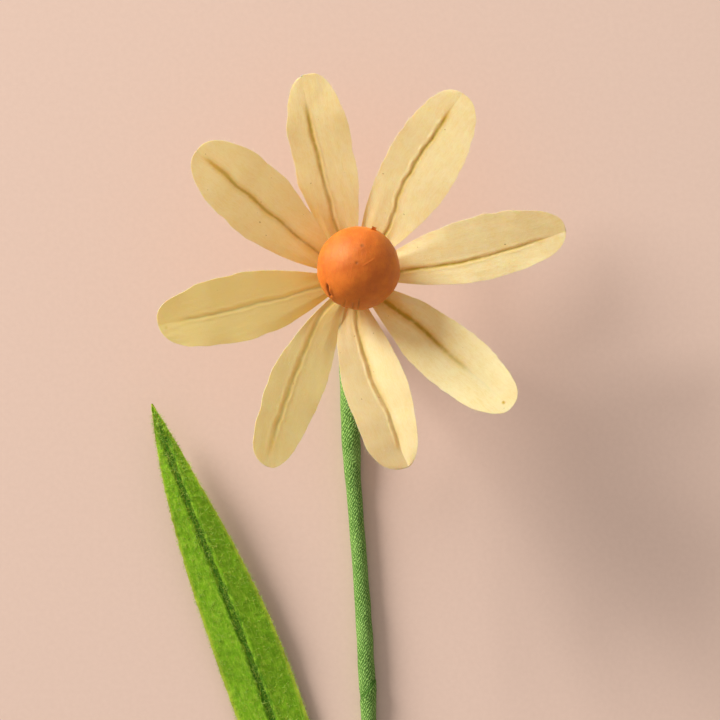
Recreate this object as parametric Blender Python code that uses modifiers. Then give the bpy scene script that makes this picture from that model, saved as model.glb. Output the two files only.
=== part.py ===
"""Paper daisy with eight creased petals, a ball centre, a taped wire stem and one long leaf.

The flower lies on its stem, with the head bent up to face the sky.  The driving sizes are laid
out in millimetres round the point where the petals meet, with X to the right, Y towards the
head and Z up from the table.  One empty then puts the whole flower's origin at the middle of
its underside.
"""

import functools
import math
from typing import NamedTuple

import bmesh
import bpy
import numpy as np
from mathutils import Quaternion, Vector

MM = 0.001

# Head: its plane leans by HEAD_TILT towards HEAD_LEAN_DEG, and its petals rise like a saucer.
HEAD_HEIGHT = 27.0
HEAD_TILT_DEG = 13.0
HEAD_LEAN_DEG = 51.0
CUP_SLOPE = 0.25

# Paper and wire stock.
PAPER = 0.28
PETAL_WIRE_RADIUS = 0.20
STEM_WIRE_RADIUS = 0.80
LEAF_WIRE_RADIUS = 0.25

# Petals: each is a sheet with a pinched channel along its crease that holds a wire.
ROOT_RADIUS = 2.7
NEIGHBOUR_GAP = 0.34
BELLY_AT = 0.58
TIP_POWER = 2.4
TIP_END = 0.996
CREASE_FREE = (0.05, 0.22)
CREASE_END = 0.95
CHANNEL_DEPTH = 0.86
CHANNEL_BOTTOM = 0.57
CHANNEL_TOP = 0.80
PETAL_ROWS = 14
SIDE_STEPS = (0.0, 0.35, 0.7, 1.0)
WIRE_TIP = 0.84
WIRE_LIFT = 0.57

# Ball on the stem wire.
BALL_RADIUS = 9.1
BALL_RISE = 10.1
BALL_HOLE_RADIUS = 1.1
BALL_HOLE_DEPTH = 6.5
WIRE_IN_BALL = 5.5

# Stem: arc lengths are counted down from the point where the petals meet.
WRAP_START = 1.9
WIRE_RING_RADIUS = 1.28
WIRES_END = 51.0
LYING_FROM = 33.0
WRAP_RADIUS_TOP = 1.85
WRAP_RADIUS_END = 1.70
WRAP_BULGE = 0.40
BORE_RADIUS = 1.12
BORE_BULGE = 0.68
NECK_TAPER = (53.0, 67.0)
LEAF_JOINT = (182.0, 192.0)
LEAF_TAIL = (223.0, 235.0)
NECK_STEP = 2.0
NECK_STEPS_TO = 34.0
STEM_STEP = 5.0

# The stem's route below the head, as (x, y, z); from LYING_FROM on it rests on the table.
STEM_ROUTE = (
    (0.0, 0.0, 27.0),
    (-0.7, -0.86, 22.2),
    (-1.45, -1.8, 16.8),
    (-1.95, -2.85, 11.6),
    (-1.9, -4.7, 6.8),
    (-1.5, -8.4, 3.4),
    (-1.1, -14.0, 2.3),
    (-0.75, -22.0, 2.25),
    (-0.45, -32.0, 2.25),
    (0.15, -45.0, 1.9),
    (1.65, -64.0, 1.85),
    (3.1, -86.0, 1.8),
    (4.1, -110.0, 1.8),
    (4.0, -138.0, 1.8),
    (2.4, -170.0, 2.2),
    (-1.4, -208.0, 2.2),
    (-7.0, -248.0, 1.75),
    (-12.6, -278.0, 1.75),
)

# Leaf: its midrib runs from its foot on the stem's left side to its raised tip.
LEAF_RIB = (
    (-0.7, -160.0, 2.3),
    (-3.6, -148.0, 1.8),
    (-9.2, -125.0, 1.35),
    (-18.7, -98.4, 3.4),
    (-25.3, -80.3, 5.2),
    (-35.9, -53.9, 7.3),
    (-41.1, -40.3, 7.6),
    (-45.4, -28.2, 7.4),
)
LEAF_PAPER = 0.5
LEAF_HALF_WIDTH = 7.7
LEAF_FOOT_HALF_WIDTH = 1.3
LEAF_DROOP = 0.13
LEAF_TIP_POWER = 0.86
LEAF_CHANNEL_DEPTH = 0.9
LEAF_CHANNEL_BOTTOM = 0.68
LEAF_CHANNEL_TOP = 1.0
LEAF_ROWS = 24
LEAF_WIRE_LIFT = 0.72
LEAF_WIRE_FROM = 0.93
LEAF_WIRE_RING = 1.30
LEAF_WIRE_STOP = 220.0
LEAF_CUT_RADIUS = 0.48


class Petal(NamedTuple):
    """One petal: its direction and size, its half-widths, how it is bent, and its crease."""

    name: str
    azimuth_deg: float
    length: float
    left: float
    right: float
    roll_slope: float
    crease: tuple
    gap_after_deg: float
    dish_slope: float
    slope_trim: float = 0.0
    right_shoulder: float = 1.0


# Counted anticlockwise; gap_after_deg is the direction of the gap to the next petal.
PETALS = (
    Petal("petal_1", 13.0, 48.2, 6.6, 7.3, -0.04, (-1.3, -2.2, -1.9, -0.7), 32.0, 0.12),
    Petal("petal_2", 59.0, 47.4, 7.6, 8.4, 0.0, (-1.5, 0.8, 0.6, 0.1), 78.0, 0.05),
    Petal("petal_3", 102.0, 45.6, 7.6, 6.2, -0.11, (1.0, 1.6, 2.0, 1.8), 122.0, 0.05),
    Petal("petal_4", 140.7, 43.5, 8.1, 7.8, 0.0, (0.6, 0.7, 0.5, 0.2), 171.0, 0.12, 0.03),
    Petal("petal_5", 193.8, 43.3, 8.0, 6.5, 0.05, (0.6, 0.8, 1.0, 0.4), 219.0, 0.07, -0.06),
    Petal("petal_6", 246.4, 45.0, 4.7, 7.4, 0.37, (-3.0, -3.0, -2.1, -0.4), 253.5, 0.01),
    Petal("petal_7", 285.5, 43.4, 5.5, 8.1, 0.0, (-1.6, -1.7, 0.0, 0.5), 302.0, 0.40, -0.13, 0.42),
    Petal("petal_8", 321.0, 45.0, 6.9, 7.0, 0.0, (0.6, 0.6, -0.1, -0.2), 351.0, 0.16, 0.02),
)

FLOWER = "paper_daisy"
CUTTERS = "cutters"


# ---------------------------------------------------------------- small helpers

def clear_scene():
    """Remove every object that the file starts with."""
    for thing in list(bpy.data.objects):
        bpy.data.objects.remove(thing, do_unlink=True)


def make_collection(name):
    """Make a collection in the scene."""
    group = bpy.data.collections.new(name)
    bpy.context.scene.collection.children.link(group)
    return group


def make_material(name, colour, roughness, metallic=0.0):
    """Make a plain Principled material."""
    material = bpy.data.materials.new(name)
    material.use_nodes = True
    shader = material.node_tree.nodes["Principled BSDF"]
    shader.inputs["Base Color"].default_value = (*colour, 1.0)
    shader.inputs["Roughness"].default_value = roughness
    shader.inputs["Metallic"].default_value = metallic
    return material


def add_object(name, data, group, material=None):
    """Put a mesh or curve into a collection under its own name."""
    thing = bpy.data.objects.new(name, data)
    group.objects.link(thing)
    if material is not None:
        data.materials.append(material)
    return thing


def smoothstep(value, start, end):
    """Ease from 0 at start to 1 at end."""
    share = min(max((value - start) / (end - start), 0.0), 1.0)
    return share * share * (3.0 - 2.0 * share)


def smooth_points(controls, per_span=24):
    """Read a Catmull-Rom curve through the control points."""
    knots = [Vector(point) for point in controls]
    first = knots[0] * 2.0 - knots[1]
    last = knots[-1] * 2.0 - knots[-2]
    knots = [first, *knots, last]
    points = []
    for before, start, end, after in zip(knots, knots[1:], knots[2:], knots[3:]):
        for step in range(per_span):
            u = step / per_span
            linear = end - before
            square = 2.0 * before - 5.0 * start + 4.0 * end - after
            cubic = 3.0 * start - before - 3.0 * end + after
            points.append(start + 0.5 * u * (linear + u * (square + u * cubic)))
    points.append(knots[-2])
    return points


class Route:
    """A smooth line that can be asked for its point and direction at any arc length."""

    def __init__(self, controls):
        self.points = smooth_points(controls)
        steps = [(b - a).length for a, b in zip(self.points, self.points[1:])]
        self.arcs = np.concatenate([[0.0], np.cumsum(steps)])
        self.length = float(self.arcs[-1])

    def point(self, arc):
        """Point at an arc length."""
        return Vector([np.interp(arc, self.arcs, [p[i] for p in self.points]) for i in range(3)])

    def direction(self, arc):
        """Unit tangent at an arc length."""
        low = max(arc - 0.5, 0.0)
        high = min(arc + 0.5, self.length)
        return (self.point(high) - self.point(low)).normalized()


def tube(name, points, radii, group, material, sides_level=2):
    """A round wire or tube along points, with a radius at each point and closed ends."""
    curve = bpy.data.curves.new(name, "CURVE")
    curve.dimensions = "3D"
    curve.bevel_depth = MM
    curve.bevel_resolution = sides_level
    curve.use_fill_caps = True
    spline = curve.splines.new("POLY")
    spline.points.add(len(points) - 1)
    for knot, point, radius in zip(spline.points, points, radii):
        knot.co = (*(point * MM), 1.0)
        knot.radius = radius
    return add_object(name, curve, group, material)


def as_mesh(thing, group, material=None):
    """Swap a curve object for the closed mesh that it makes."""
    graph = bpy.context.evaluated_depsgraph_get()
    mesh = bpy.data.meshes.new_from_object(thing.evaluated_get(graph))
    weld_mesh(mesh)
    name = thing.name
    matrix = thing.matrix_world.copy()
    bpy.data.objects.remove(thing, do_unlink=True)
    mesh.materials.clear()
    swapped = add_object(name, mesh, group, material)
    swapped.matrix_world = matrix
    return swapped


def weld_mesh(mesh):
    """Join a mesh's doubled points, so that a curve's loose caps close it."""
    work = bmesh.new()
    work.from_mesh(mesh)
    bmesh.ops.remove_doubles(work, verts=work.verts, dist=0.001 * MM)
    bmesh.ops.recalc_face_normals(work, faces=work.faces)
    work.to_mesh(mesh)
    work.free()


def hide_cutter(thing):
    """Mark an object as a tool that isn't part of the flower."""
    thing.hide_render = True
    thing.display_type = "WIRE"


def cut(target, cutter):
    """Subtract the cutter from the target with an exact Boolean."""
    hide_cutter(cutter)
    boolean = target.modifiers.new("cut_" + cutter.name, "BOOLEAN")
    boolean.operation = "DIFFERENCE"
    boolean.solver = "EXACT"
    boolean.object = cutter


def sheet(name, rows, thickness, group, material):
    """A paper sheet from rows of points, given its thickness by Solidify."""
    across = len(rows[0])
    points = [tuple(point * MM) for row in rows for point in row]
    faces = []
    for j in range(len(rows) - 1):
        for i in range(across - 1):
            corner = j * across + i
            faces.append((corner, corner + 1, corner + across + 1, corner + across))
    mesh = bpy.data.meshes.new(name)
    mesh.from_pydata(points, [], faces)
    mesh.shade_smooth()
    thing = add_object(name, mesh, group, material)
    wall = thing.modifiers.new("paper", "SOLIDIFY")
    wall.thickness = thickness * MM
    wall.offset = 0.0
    wall.use_even_offset = True
    return thing


# ---------------------------------------------------------------- head geometry

def head_axis():
    """Unit vector that the flower faces along."""
    tilt = math.radians(HEAD_TILT_DEG)
    lean = math.radians(HEAD_LEAN_DEG)
    return Vector((math.sin(tilt) * math.cos(lean), math.sin(tilt) * math.sin(lean), math.cos(tilt)))


def head_centre():
    """The point where the petals meet."""
    return Vector((0.0, 0.0, HEAD_HEIGHT))


def petal_slope(petal):
    """How steeply a petal rises outwards, from the saucer shape and the head's tilt."""
    away = math.radians(petal.azimuth_deg - HEAD_LEAN_DEG)
    return CUP_SLOPE + petal.slope_trim - math.tan(math.radians(HEAD_TILT_DEG)) * math.cos(away)


@functools.lru_cache
def crease_line(petal):
    """A petal's crease as a smooth line: shares of its length, and sideways places."""
    quarters = np.linspace(0.0, 1.0, 5)
    places = (0.0, *petal.crease)
    points = smooth_points([(share, place, 0.0) for share, place in zip(quarters, places)])
    return [point.x for point in points], [point.y for point in points]


def wedges(petal):
    """Angles from a petal's own direction to the gaps on its left and on its right."""
    before = PETALS[PETALS.index(petal) - 1].gap_after_deg
    left = petal.gap_after_deg - petal.azimuth_deg
    right = (petal.azimuth_deg - before) % 360.0
    return left, right


def crease_offset(petal, share):
    """Sideways place of the crease, which starts midway between the petal's neighbours."""
    left, right = wedges(petal)
    middle = petal.length * share * math.tan(math.radians(0.5 * (left - right)))
    free = float(np.interp(share, *crease_line(petal)))
    return middle + (free - middle) * smoothstep(share, *CREASE_FREE)


def belly(share, shoulder):
    """Outline of half a petal, 1 at its widest place; a shoulder under 1 fills its root."""
    if share < BELLY_AT:
        return math.sin(0.5 * math.pi * share / BELLY_AT) ** shoulder
    past = (share - BELLY_AT) / (1.0 - BELLY_AT)
    return (1.0 - past ** TIP_POWER) ** (1.0 / TIP_POWER)


def half_width(petal, share, widest, wedge_deg, shoulder=1.0):
    """Half-width of a petal, held clear of its neighbour near the head's middle."""
    wedge = petal.length * share * math.tan(math.radians(wedge_deg)) - 0.5 * NEIGHBOUR_GAP
    free = widest * belly(share, shoulder)
    sharpness = 8.0
    return (wedge ** -sharpness + free ** -sharpness) ** (-1.0 / sharpness)


def petal_point(petal, share, sideways, sunk=0.0):
    """Point of a petal's middle surface, sunk below it by the depth of the crease."""
    azimuth = math.radians(petal.azimuth_deg)
    along = Vector((math.cos(azimuth), math.sin(azimuth), 0.0))
    across = Vector((-math.sin(azimuth), math.cos(azimuth), 0.0))
    from_crease = sideways - crease_offset(petal, share)
    opened = smoothstep(share, 0.05, 0.35)
    height = petal_slope(petal) * petal.length * share
    height -= petal.roll_slope * from_crease * opened
    height += petal.dish_slope * abs(from_crease) * opened
    point = head_centre() + along * (petal.length * share) + across * sideways
    point.z += height - sunk
    return point


def channel_depth(share):
    """Depth of the crease, which runs out before the petal's tip."""
    return CHANNEL_DEPTH * (1.0 - smoothstep(share, CREASE_END - 0.09, CREASE_END))


def row_shares(petal):
    """Shares of a petal's length from root to tip, closer together near the tip."""
    root = ROOT_RADIUS / petal.length
    steps = [j / (PETAL_ROWS - 1) for j in range(PETAL_ROWS)]
    return [root + (TIP_END - root) * (u + 0.6 * u * (1.0 - u)) for u in steps]


def petal_rows(petal):
    """Rows of points from a petal's root to its tip."""
    left_wedge, right_wedge = wedges(petal)
    rows = []
    for share in row_shares(petal):
        crease = crease_offset(petal, share)
        left = half_width(petal, share, petal.left, left_wedge) - crease
        right = half_width(petal, share, petal.right, right_wedge, petal.right_shoulder) + crease
        depth = channel_depth(share)
        inner = min(CHANNEL_TOP, 0.55 * min(left, right) + 0.2)
        bottom = min(CHANNEL_BOTTOM, 0.7 * inner)
        row = []
        for step in reversed(SIDE_STEPS):
            row.append(petal_point(petal, share, crease - inner - step * (right - inner)))
        row.append(petal_point(petal, share, crease - bottom, depth))
        row.append(petal_point(petal, share, crease + bottom, depth))
        for step in SIDE_STEPS:
            row.append(petal_point(petal, share, crease + inner + step * (left - inner)))
        rows.append(row)
    return rows


def build_petals(group, material):
    """The eight petals, each a sheet of its own."""
    for petal in PETALS:
        sheet(petal.name, petal_rows(petal), PAPER, group, material)


# ---------------------------------------------------------------- stem geometry

def bulge(arc):
    """How far the wrap swells: 1 over the petal wires and over the leaf wire, 0 elsewhere."""
    neck = 1.0 - smoothstep(arc, *NECK_TAPER)
    joint = smoothstep(arc, *LEAF_JOINT) - smoothstep(arc, *LEAF_TAIL)
    return max(neck, joint)


def wrap_radius(arc, length):
    """Outer radius of the wrapped stem."""
    share = arc / length
    plain = WRAP_RADIUS_TOP + (WRAP_RADIUS_END - WRAP_RADIUS_TOP) * share
    return plain + WRAP_BULGE * bulge(arc)


def bore_radius(arc):
    """Inner radius of the wrap."""
    return BORE_RADIUS + BORE_BULGE * bulge(arc)


def stem_point(route, arc):
    """Centre of the stem, which rests on the table from LYING_FROM on."""
    point = route.point(arc)
    resting = smoothstep(arc, LYING_FROM - 4.0, LYING_FROM)
    point.z += resting * (wrap_radius(arc, route.length) - point.z)
    return point


def stem_arcs(route, start):
    """Arc lengths of the stem's points, close together round the bend below the head."""
    neck = np.arange(start, NECK_STEPS_TO, NECK_STEP)
    count = int(round((route.length - NECK_STEPS_TO) / STEM_STEP)) + 1
    return [*neck, *np.linspace(NECK_STEPS_TO, route.length, count)]


def carried_frames(route, arcs):
    """Two directions square to the stem at each arc length, carried along without twist."""
    down = -head_axis()
    first = Vector((1.0, 0.0, 0.0))
    first = (first - down * first.dot(down)).normalized()
    second = first.cross(down)
    frames = []
    tangent = down
    for arc in arcs:
        ahead = route.direction(arc)
        turn = tangent.rotation_difference(ahead)
        first = turn @ first
        second = turn @ second
        frames.append((first.copy(), second.copy()))
        tangent = ahead
    return frames


def build_stem_wire(route, group, material):
    """The steel wire up the middle, with its top end in the ball."""
    top = head_centre() + head_axis() * (BALL_RISE - BALL_RADIUS + WIRE_IN_BALL)
    arcs = stem_arcs(route, 0.0)
    points = [top, top.lerp(head_centre(), 0.5)]
    points += [stem_point(route, arc) for arc in arcs]
    tube("stem_wire", points, [STEM_WIRE_RADIUS] * len(points), group, material)


def build_stem_wrap(route, group, cutters, material):
    """The paper tape wound round the wires, as a tube that swells where it covers more."""
    arcs = stem_arcs(route, WRAP_START)
    points = [stem_point(route, arc) for arc in arcs]
    radii = [wrap_radius(arc, route.length) for arc in arcs]
    wrap = as_mesh(tube("stem_wrap", points, radii, group, None, 3), group, material)
    wrap.data.shade_smooth()
    wrap.data.set_sharp_from_angle(angle=math.radians(50.0))
    ends = [points[0] - route.direction(arcs[0]) * 2.0, points[-1] + route.direction(arcs[-1]) * 2.0]
    bores = [bore_radius(arc) for arc in arcs]
    core = tube("wrap_bore", [ends[0], *points, ends[1]], [bores[0], *bores, bores[-1]], cutters, None, 3)
    cut(wrap, as_mesh(core, cutters))
    entry = leaf_wire_entry(route)
    slit = tube("leaf_wire_slit", entry, [LEAF_CUT_RADIUS] * len(entry), cutters, None)
    cut(wrap, as_mesh(slit, cutters))


def build_petal_wires(route, group, material):
    """A thin wire along each petal's crease, bent down beside the stem wire."""
    arcs = [arc for arc in stem_arcs(route, 2.0) if arc <= WIRES_END]
    frames = carried_frames(route, arcs)
    for petal in PETALS:
        root = ROOT_RADIUS / petal.length
        points = []
        shares = [0.8 * root, *row_shares(petal)]
        for share in reversed([share for share in shares if share < WIRE_TIP]):
            offset = crease_offset(petal, share)
            points.append(petal_point(petal, share, offset, CHANNEL_DEPTH - WIRE_LIFT))
        offset = crease_offset(petal, root)
        turn = math.radians(petal.azimuth_deg) + math.atan2(offset, ROOT_RADIUS)
        down = -head_axis()
        first, second = frames[0]
        outward = first * math.cos(turn) + second * math.sin(turn)
        points.append(head_centre() + outward * 1.85 + down * 0.42)
        points.append(head_centre() + outward * 1.42 + down * 1.05)
        for arc, (first, second) in zip(arcs, frames):
            outward = first * math.cos(turn) + second * math.sin(turn)
            points.append(stem_point(route, arc) + outward * WIRE_RING_RADIUS)
        tube(petal.name + "_wire", points, [PETAL_WIRE_RADIUS] * len(points), group, material)


def build_ball(group, cutters, material):
    """The solid paper ball, with a blind hole in its back for the stem wire."""
    centre = head_centre() + head_axis() * BALL_RISE
    turn = Vector((0.0, 0.0, 1.0)).rotation_difference(head_axis())
    bpy.ops.mesh.primitive_uv_sphere_add(segments=24, ring_count=16, radius=BALL_RADIUS * MM)
    ball = bpy.context.object
    place_made(ball, "centre_ball", centre, turn, group)
    ball.data.materials.append(material)
    ball.data.shade_smooth()
    hole_centre = centre - head_axis() * (BALL_RADIUS - 0.5 * BALL_HOLE_DEPTH + 1.0)
    bpy.ops.mesh.primitive_cylinder_add(
        vertices=16, radius=BALL_HOLE_RADIUS * MM, depth=(BALL_HOLE_DEPTH + 2.0) * MM)
    hole = bpy.context.object
    place_made(hole, "ball_hole", hole_centre, turn, cutters)
    cut(ball, hole)


def place_made(thing, name, centre, turn, group):
    """Name a new primitive, put it in its place and move it into its collection."""
    thing.name = name
    thing.data.name = name
    thing.rotation_mode = "QUATERNION"
    thing.rotation_quaternion = Quaternion(turn)
    thing.location = centre * MM
    for old in list(thing.users_collection):
        old.objects.unlink(thing)
    group.objects.link(thing)


# ---------------------------------------------------------------- leaf geometry

def leaf_half_width(share):
    """Half-width of the leaf at a share of its length from foot to tip."""
    half = abs(share - 0.5) * 2.0
    swell = math.sin(0.5 * math.pi * max(1.0 - half, 0.0) ** LEAF_TIP_POWER)
    foot = LEAF_FOOT_HALF_WIDTH * (1.0 - smoothstep(share, 0.0, 0.25))
    return max(LEAF_HALF_WIDTH * swell, foot, 0.12)


def leaf_channel(share):
    """Depth of the leaf's crease, which runs out before its tip."""
    return LEAF_CHANNEL_DEPTH * (1.0 - smoothstep(share, 0.90, 0.98))


def leaf_point(rib, share, sideways, sunk=0.0):
    """Point of the leaf's middle surface: its halves droop from the midrib."""
    arc = share * rib.length
    ahead = rib.direction(arc)
    across = Vector((-ahead.y, ahead.x, 0.0)).normalized()
    point = rib.point(arc) + across * sideways
    point.z -= LEAF_DROOP * abs(sideways) + sunk
    return point


def leaf_shares():
    """Shares of the leaf's length at its rows, from foot to tip."""
    return [j / (LEAF_ROWS - 1) for j in range(LEAF_ROWS)]


def build_leaf(rib, group, material):
    """The long leaf, one sheet of felted paper with a pinched midrib."""
    rows = []
    for share in leaf_shares():
        width = leaf_half_width(share)
        inner = min(LEAF_CHANNEL_TOP, 0.8 * width)
        bottom = min(LEAF_CHANNEL_BOTTOM, 0.55 * width)
        depth = min(leaf_channel(share), 0.9 * width)
        row = [leaf_point(rib, share, -inner - f * (width - inner)) for f in (1.0, 0.5, 0.0)]
        row.append(leaf_point(rib, share, -bottom, depth))
        row.append(leaf_point(rib, share, bottom, depth))
        row += [leaf_point(rib, share, inner + f * (width - inner)) for f in (0.0, 0.5, 1.0)]
        rows.append(row)
    sheet("leaf", rows, LEAF_PAPER, group, material)


def leaf_wire_side(route, arc, reach):
    """Point beside the stem's centre, on the leaf's side and at the same height."""
    ahead = route.direction(arc)
    beside = Vector((ahead.y, -ahead.x, 0.0)).normalized()
    return stem_point(route, arc) + beside * reach


def leaf_wire_entry(route):
    """Where the leaf wire slips under the wrap."""
    start, end = LEAF_JOINT
    arcs = np.linspace(start, end + 6.0, 9)
    reach = np.linspace(3.1, LEAF_WIRE_RING, 9)
    return [leaf_wire_side(route, arc, out) for arc, out in zip(arcs, reach)]


def build_leaf_wire(route, rib, group, material):
    """The leaf's wire, from the crease down beside the stem wire under the wrap."""
    points = []
    for share in reversed([share for share in leaf_shares() if share < LEAF_WIRE_FROM]):
        points.append(leaf_point(rib, share, 0.0, LEAF_CHANNEL_DEPTH - LEAF_WIRE_LIFT))
    points += leaf_wire_entry(route)
    for arc in np.linspace(LEAF_JOINT[1] + 10.0, LEAF_WIRE_STOP, 5):
        points.append(leaf_wire_side(route, arc, LEAF_WIRE_RING))
    tube("leaf_wire", points, [LEAF_WIRE_RADIUS] * len(points), group, material)


# ---------------------------------------------------------------- assembly

def stand_at_origin(group):
    """Parent every piece to an empty that puts the origin under the flower's middle."""
    bpy.context.view_layer.update()
    graph = bpy.context.evaluated_depsgraph_get()
    corners = []
    for thing in group.objects:
        made = thing.evaluated_get(graph)
        mesh = made.to_mesh()
        corners += [made.matrix_world @ vertex.co for vertex in mesh.vertices]
        made.to_mesh_clear()
    low = Vector([min(corner[i] for corner in corners) for i in range(3)])
    high = Vector([max(corner[i] for corner in corners) for i in range(3)])
    frame = bpy.data.objects.new("flower_frame", None)
    frame.location = (-(low.x + high.x) / 2.0, -(low.y + high.y) / 2.0, -low.z)
    group.objects.link(frame)
    for collection in (group, bpy.data.collections[CUTTERS]):
        for thing in collection.objects:
            if thing is not frame:
                thing.parent = frame


def main():
    """Build the flower."""
    clear_scene()
    group = make_collection(FLOWER)
    cutters = make_collection(CUTTERS)
    cream = make_material("petal_paper", (0.85, 0.68, 0.38), 0.85)
    orange = make_material("ball_paper", (0.80, 0.30, 0.07), 0.80)
    green = make_material("stem_tape", (0.14, 0.32, 0.05), 0.75)
    leaf_green = make_material("leaf_felt", (0.19, 0.42, 0.03), 0.95)
    steel = make_material("wire_steel", (0.45, 0.45, 0.43), 0.40, 1.0)
    olive = make_material("thin_wire_wrap", (0.36, 0.30, 0.06), 0.60)
    route = Route(STEM_ROUTE)
    rib = Route(LEAF_RIB)
    build_petals(group, cream)
    build_petal_wires(route, group, olive)
    build_ball(group, cutters, orange)
    build_stem_wire(route, group, steel)
    build_stem_wrap(route, group, cutters, green)
    build_leaf(rib, group, leaf_green)
    build_leaf_wire(route, rib, group, olive)
    stand_at_origin(group)


main()
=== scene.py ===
"""Visual model of a handmade paper daisy: petals, ball, taped stem and felted leaf.

Every piece is worked out in millimetres round the point where the petals meet, with X to the
right, Y towards the head and Z up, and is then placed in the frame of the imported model.
"""
import logging
import math
from dataclasses import dataclass
from enum import Enum
from typing import Sequence

import bpy
import numpy as np
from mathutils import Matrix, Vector


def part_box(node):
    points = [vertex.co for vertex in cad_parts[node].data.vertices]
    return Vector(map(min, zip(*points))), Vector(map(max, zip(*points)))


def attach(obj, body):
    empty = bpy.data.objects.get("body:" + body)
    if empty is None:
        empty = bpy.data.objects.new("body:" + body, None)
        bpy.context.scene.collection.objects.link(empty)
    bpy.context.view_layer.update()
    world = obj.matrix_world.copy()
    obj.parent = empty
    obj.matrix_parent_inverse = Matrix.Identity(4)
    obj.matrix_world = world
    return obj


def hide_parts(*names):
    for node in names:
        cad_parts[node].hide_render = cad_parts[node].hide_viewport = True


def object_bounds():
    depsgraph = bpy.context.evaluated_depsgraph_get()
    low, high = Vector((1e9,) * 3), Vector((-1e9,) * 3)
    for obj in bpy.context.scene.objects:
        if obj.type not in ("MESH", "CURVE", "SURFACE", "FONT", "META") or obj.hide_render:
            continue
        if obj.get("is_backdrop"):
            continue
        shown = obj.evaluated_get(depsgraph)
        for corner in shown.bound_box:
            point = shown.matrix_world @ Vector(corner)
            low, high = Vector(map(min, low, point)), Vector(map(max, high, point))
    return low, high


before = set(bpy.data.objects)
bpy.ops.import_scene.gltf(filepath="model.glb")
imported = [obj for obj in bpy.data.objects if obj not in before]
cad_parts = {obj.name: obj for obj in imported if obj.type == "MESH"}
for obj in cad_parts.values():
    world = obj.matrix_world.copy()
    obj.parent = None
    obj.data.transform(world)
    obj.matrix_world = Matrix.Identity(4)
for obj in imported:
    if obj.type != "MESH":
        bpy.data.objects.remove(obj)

LOG = logging.getLogger("paper_daisy")
MM = 0.001
PER_METRE = (1000.0, 1000.0, 1000.0)
SPAN_STEPS = 24
Array = np.ndarray
Colour = tuple[float, float, float]
Piece = bpy.types.Object
Material = bpy.types.Material
Socket = bpy.types.NodeSocket
Input = Socket | float | Colour


class Slot(Enum):
    """Material slots of the record."""

    PETAL = "petal_paper"
    BALL = "ball_paper"
    TAPE = "stem_tape"
    LEAF = "leaf_paper"
    THIN_WIRE = "thin_wire"


# ---------------------------------------------------------------- plain maths

def ease(value: Array | float, start: float, end: float) -> Array | float:
    """Ease from 0 at start to 1 at end.

    Args:
        value: Number or array to ease.
        start: Where the easing starts.
        end: Where the easing ends.

    Returns:
        The eased share, of the same shape as value.
    """
    share = np.clip((np.asarray(value) - start) / (end - start), 0.0, 1.0)
    return share * share * (3.0 - 2.0 * share)


def bump_at(value: Array, centre: float, spread: float) -> Array:
    """A soft bell of height 1 round centre."""
    return np.exp(-(((value - centre) / spread) ** 2))


def catmull_rom(controls: Sequence[Sequence[float]]) -> Array:
    """Points of a smooth curve through the control points.

    Args:
        controls: Control points, each of two or three numbers.

    Returns:
        An array with one row for each point.
    """
    knots = np.array(controls, dtype=float)
    knots = np.vstack([2.0 * knots[0] - knots[1], knots, 2.0 * knots[-1] - knots[-2]])
    steps = np.arange(SPAN_STEPS)[:, None] / SPAN_STEPS
    spans = []
    for before, start, end, after in zip(knots, knots[1:], knots[2:], knots[3:]):
        square = 2.0 * before - 5.0 * start + 4.0 * end - after
        cubic = 3.0 * start - before - 3.0 * end + after
        spans.append(start + 0.5 * steps * (end - before + steps * (square + steps * cubic)))
    return np.vstack([*spans, knots[-2]])


class Ripples:
    """Soft irregular waves, made of a few sines in seeded directions."""

    def __init__(self, seed: int, wavelength: float, count: int = 7, stretch: float = 1.0) -> None:
        """Pick the waves.

        Args:
            seed: Seed of the random draws.
            wavelength: Typical wavelength, in millimetres.
            count: Number of sines.
            stretch: How much longer the waves are along y than along x.
        """
        draw = np.random.default_rng(seed)
        angles = draw.uniform(0.0, 2.0 * math.pi, count)
        lengths = wavelength * draw.uniform(0.6, 1.6, count)
        tilt = draw.uniform(-1.0, 1.0, count)
        self.waves = 2.0 * math.pi / lengths[:, None] * np.stack(
            [np.cos(angles), np.sin(angles) / stretch, tilt], axis=1)
        self.phases = draw.uniform(0.0, 2.0 * math.pi, count)
        self.scale = 1.0 / math.sqrt(count)

    def __call__(self, x: Array, y: Array | float = 0.0, z: Array | float = 0.0) -> Array:
        """Height of the waves, mostly between -1.5 and 1.5.

        Args:
            x: Places along the first axis, in millimetres.
            y: Places along the second.
            z: Places along the third.

        Returns:
            One height for each place.
        """
        total = 0.0
        for wave, phase in zip(self.waves, self.phases):
            total = total + np.sin(wave[0] * x + wave[1] * y + wave[2] * z + phase)
        return total * self.scale


class Route:
    """A smooth line that can be asked for points, directions and sides along its length."""

    def __init__(self, controls: Sequence[Sequence[float]]) -> None:
        """Thread the line through its control points, in millimetres.

        Args:
            controls: Control points, in millimetres.
        """
        self.points = catmull_rom(controls)
        steps = np.linalg.norm(np.diff(self.points, axis=0), axis=1)
        self.arcs = np.concatenate([[0.0], np.cumsum(steps)])
        self.length = float(self.arcs[-1])

    def at(self, arcs: Array) -> Array:
        """Points at arc lengths."""
        return np.stack([np.interp(arcs, self.arcs, self.points[:, i]) for i in range(3)], axis=-1)

    def along(self, arcs: Array) -> Array:
        """Unit tangents at arc lengths.

        Args:
            arcs: Arc lengths, in millimetres.

        Returns:
            One unit vector for each arc length.
        """
        low = np.clip(np.asarray(arcs) - 0.5, 0.0, self.length)
        high = np.clip(np.asarray(arcs) + 0.5, 0.0, self.length)
        return unit(self.at(high) - self.at(low))


def unit(vectors: Array) -> Array:
    """Vectors scaled to length 1."""
    return vectors / np.linalg.norm(vectors, axis=-1, keepdims=True)


# ---------------------------------------------------------------- mesh helpers

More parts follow.
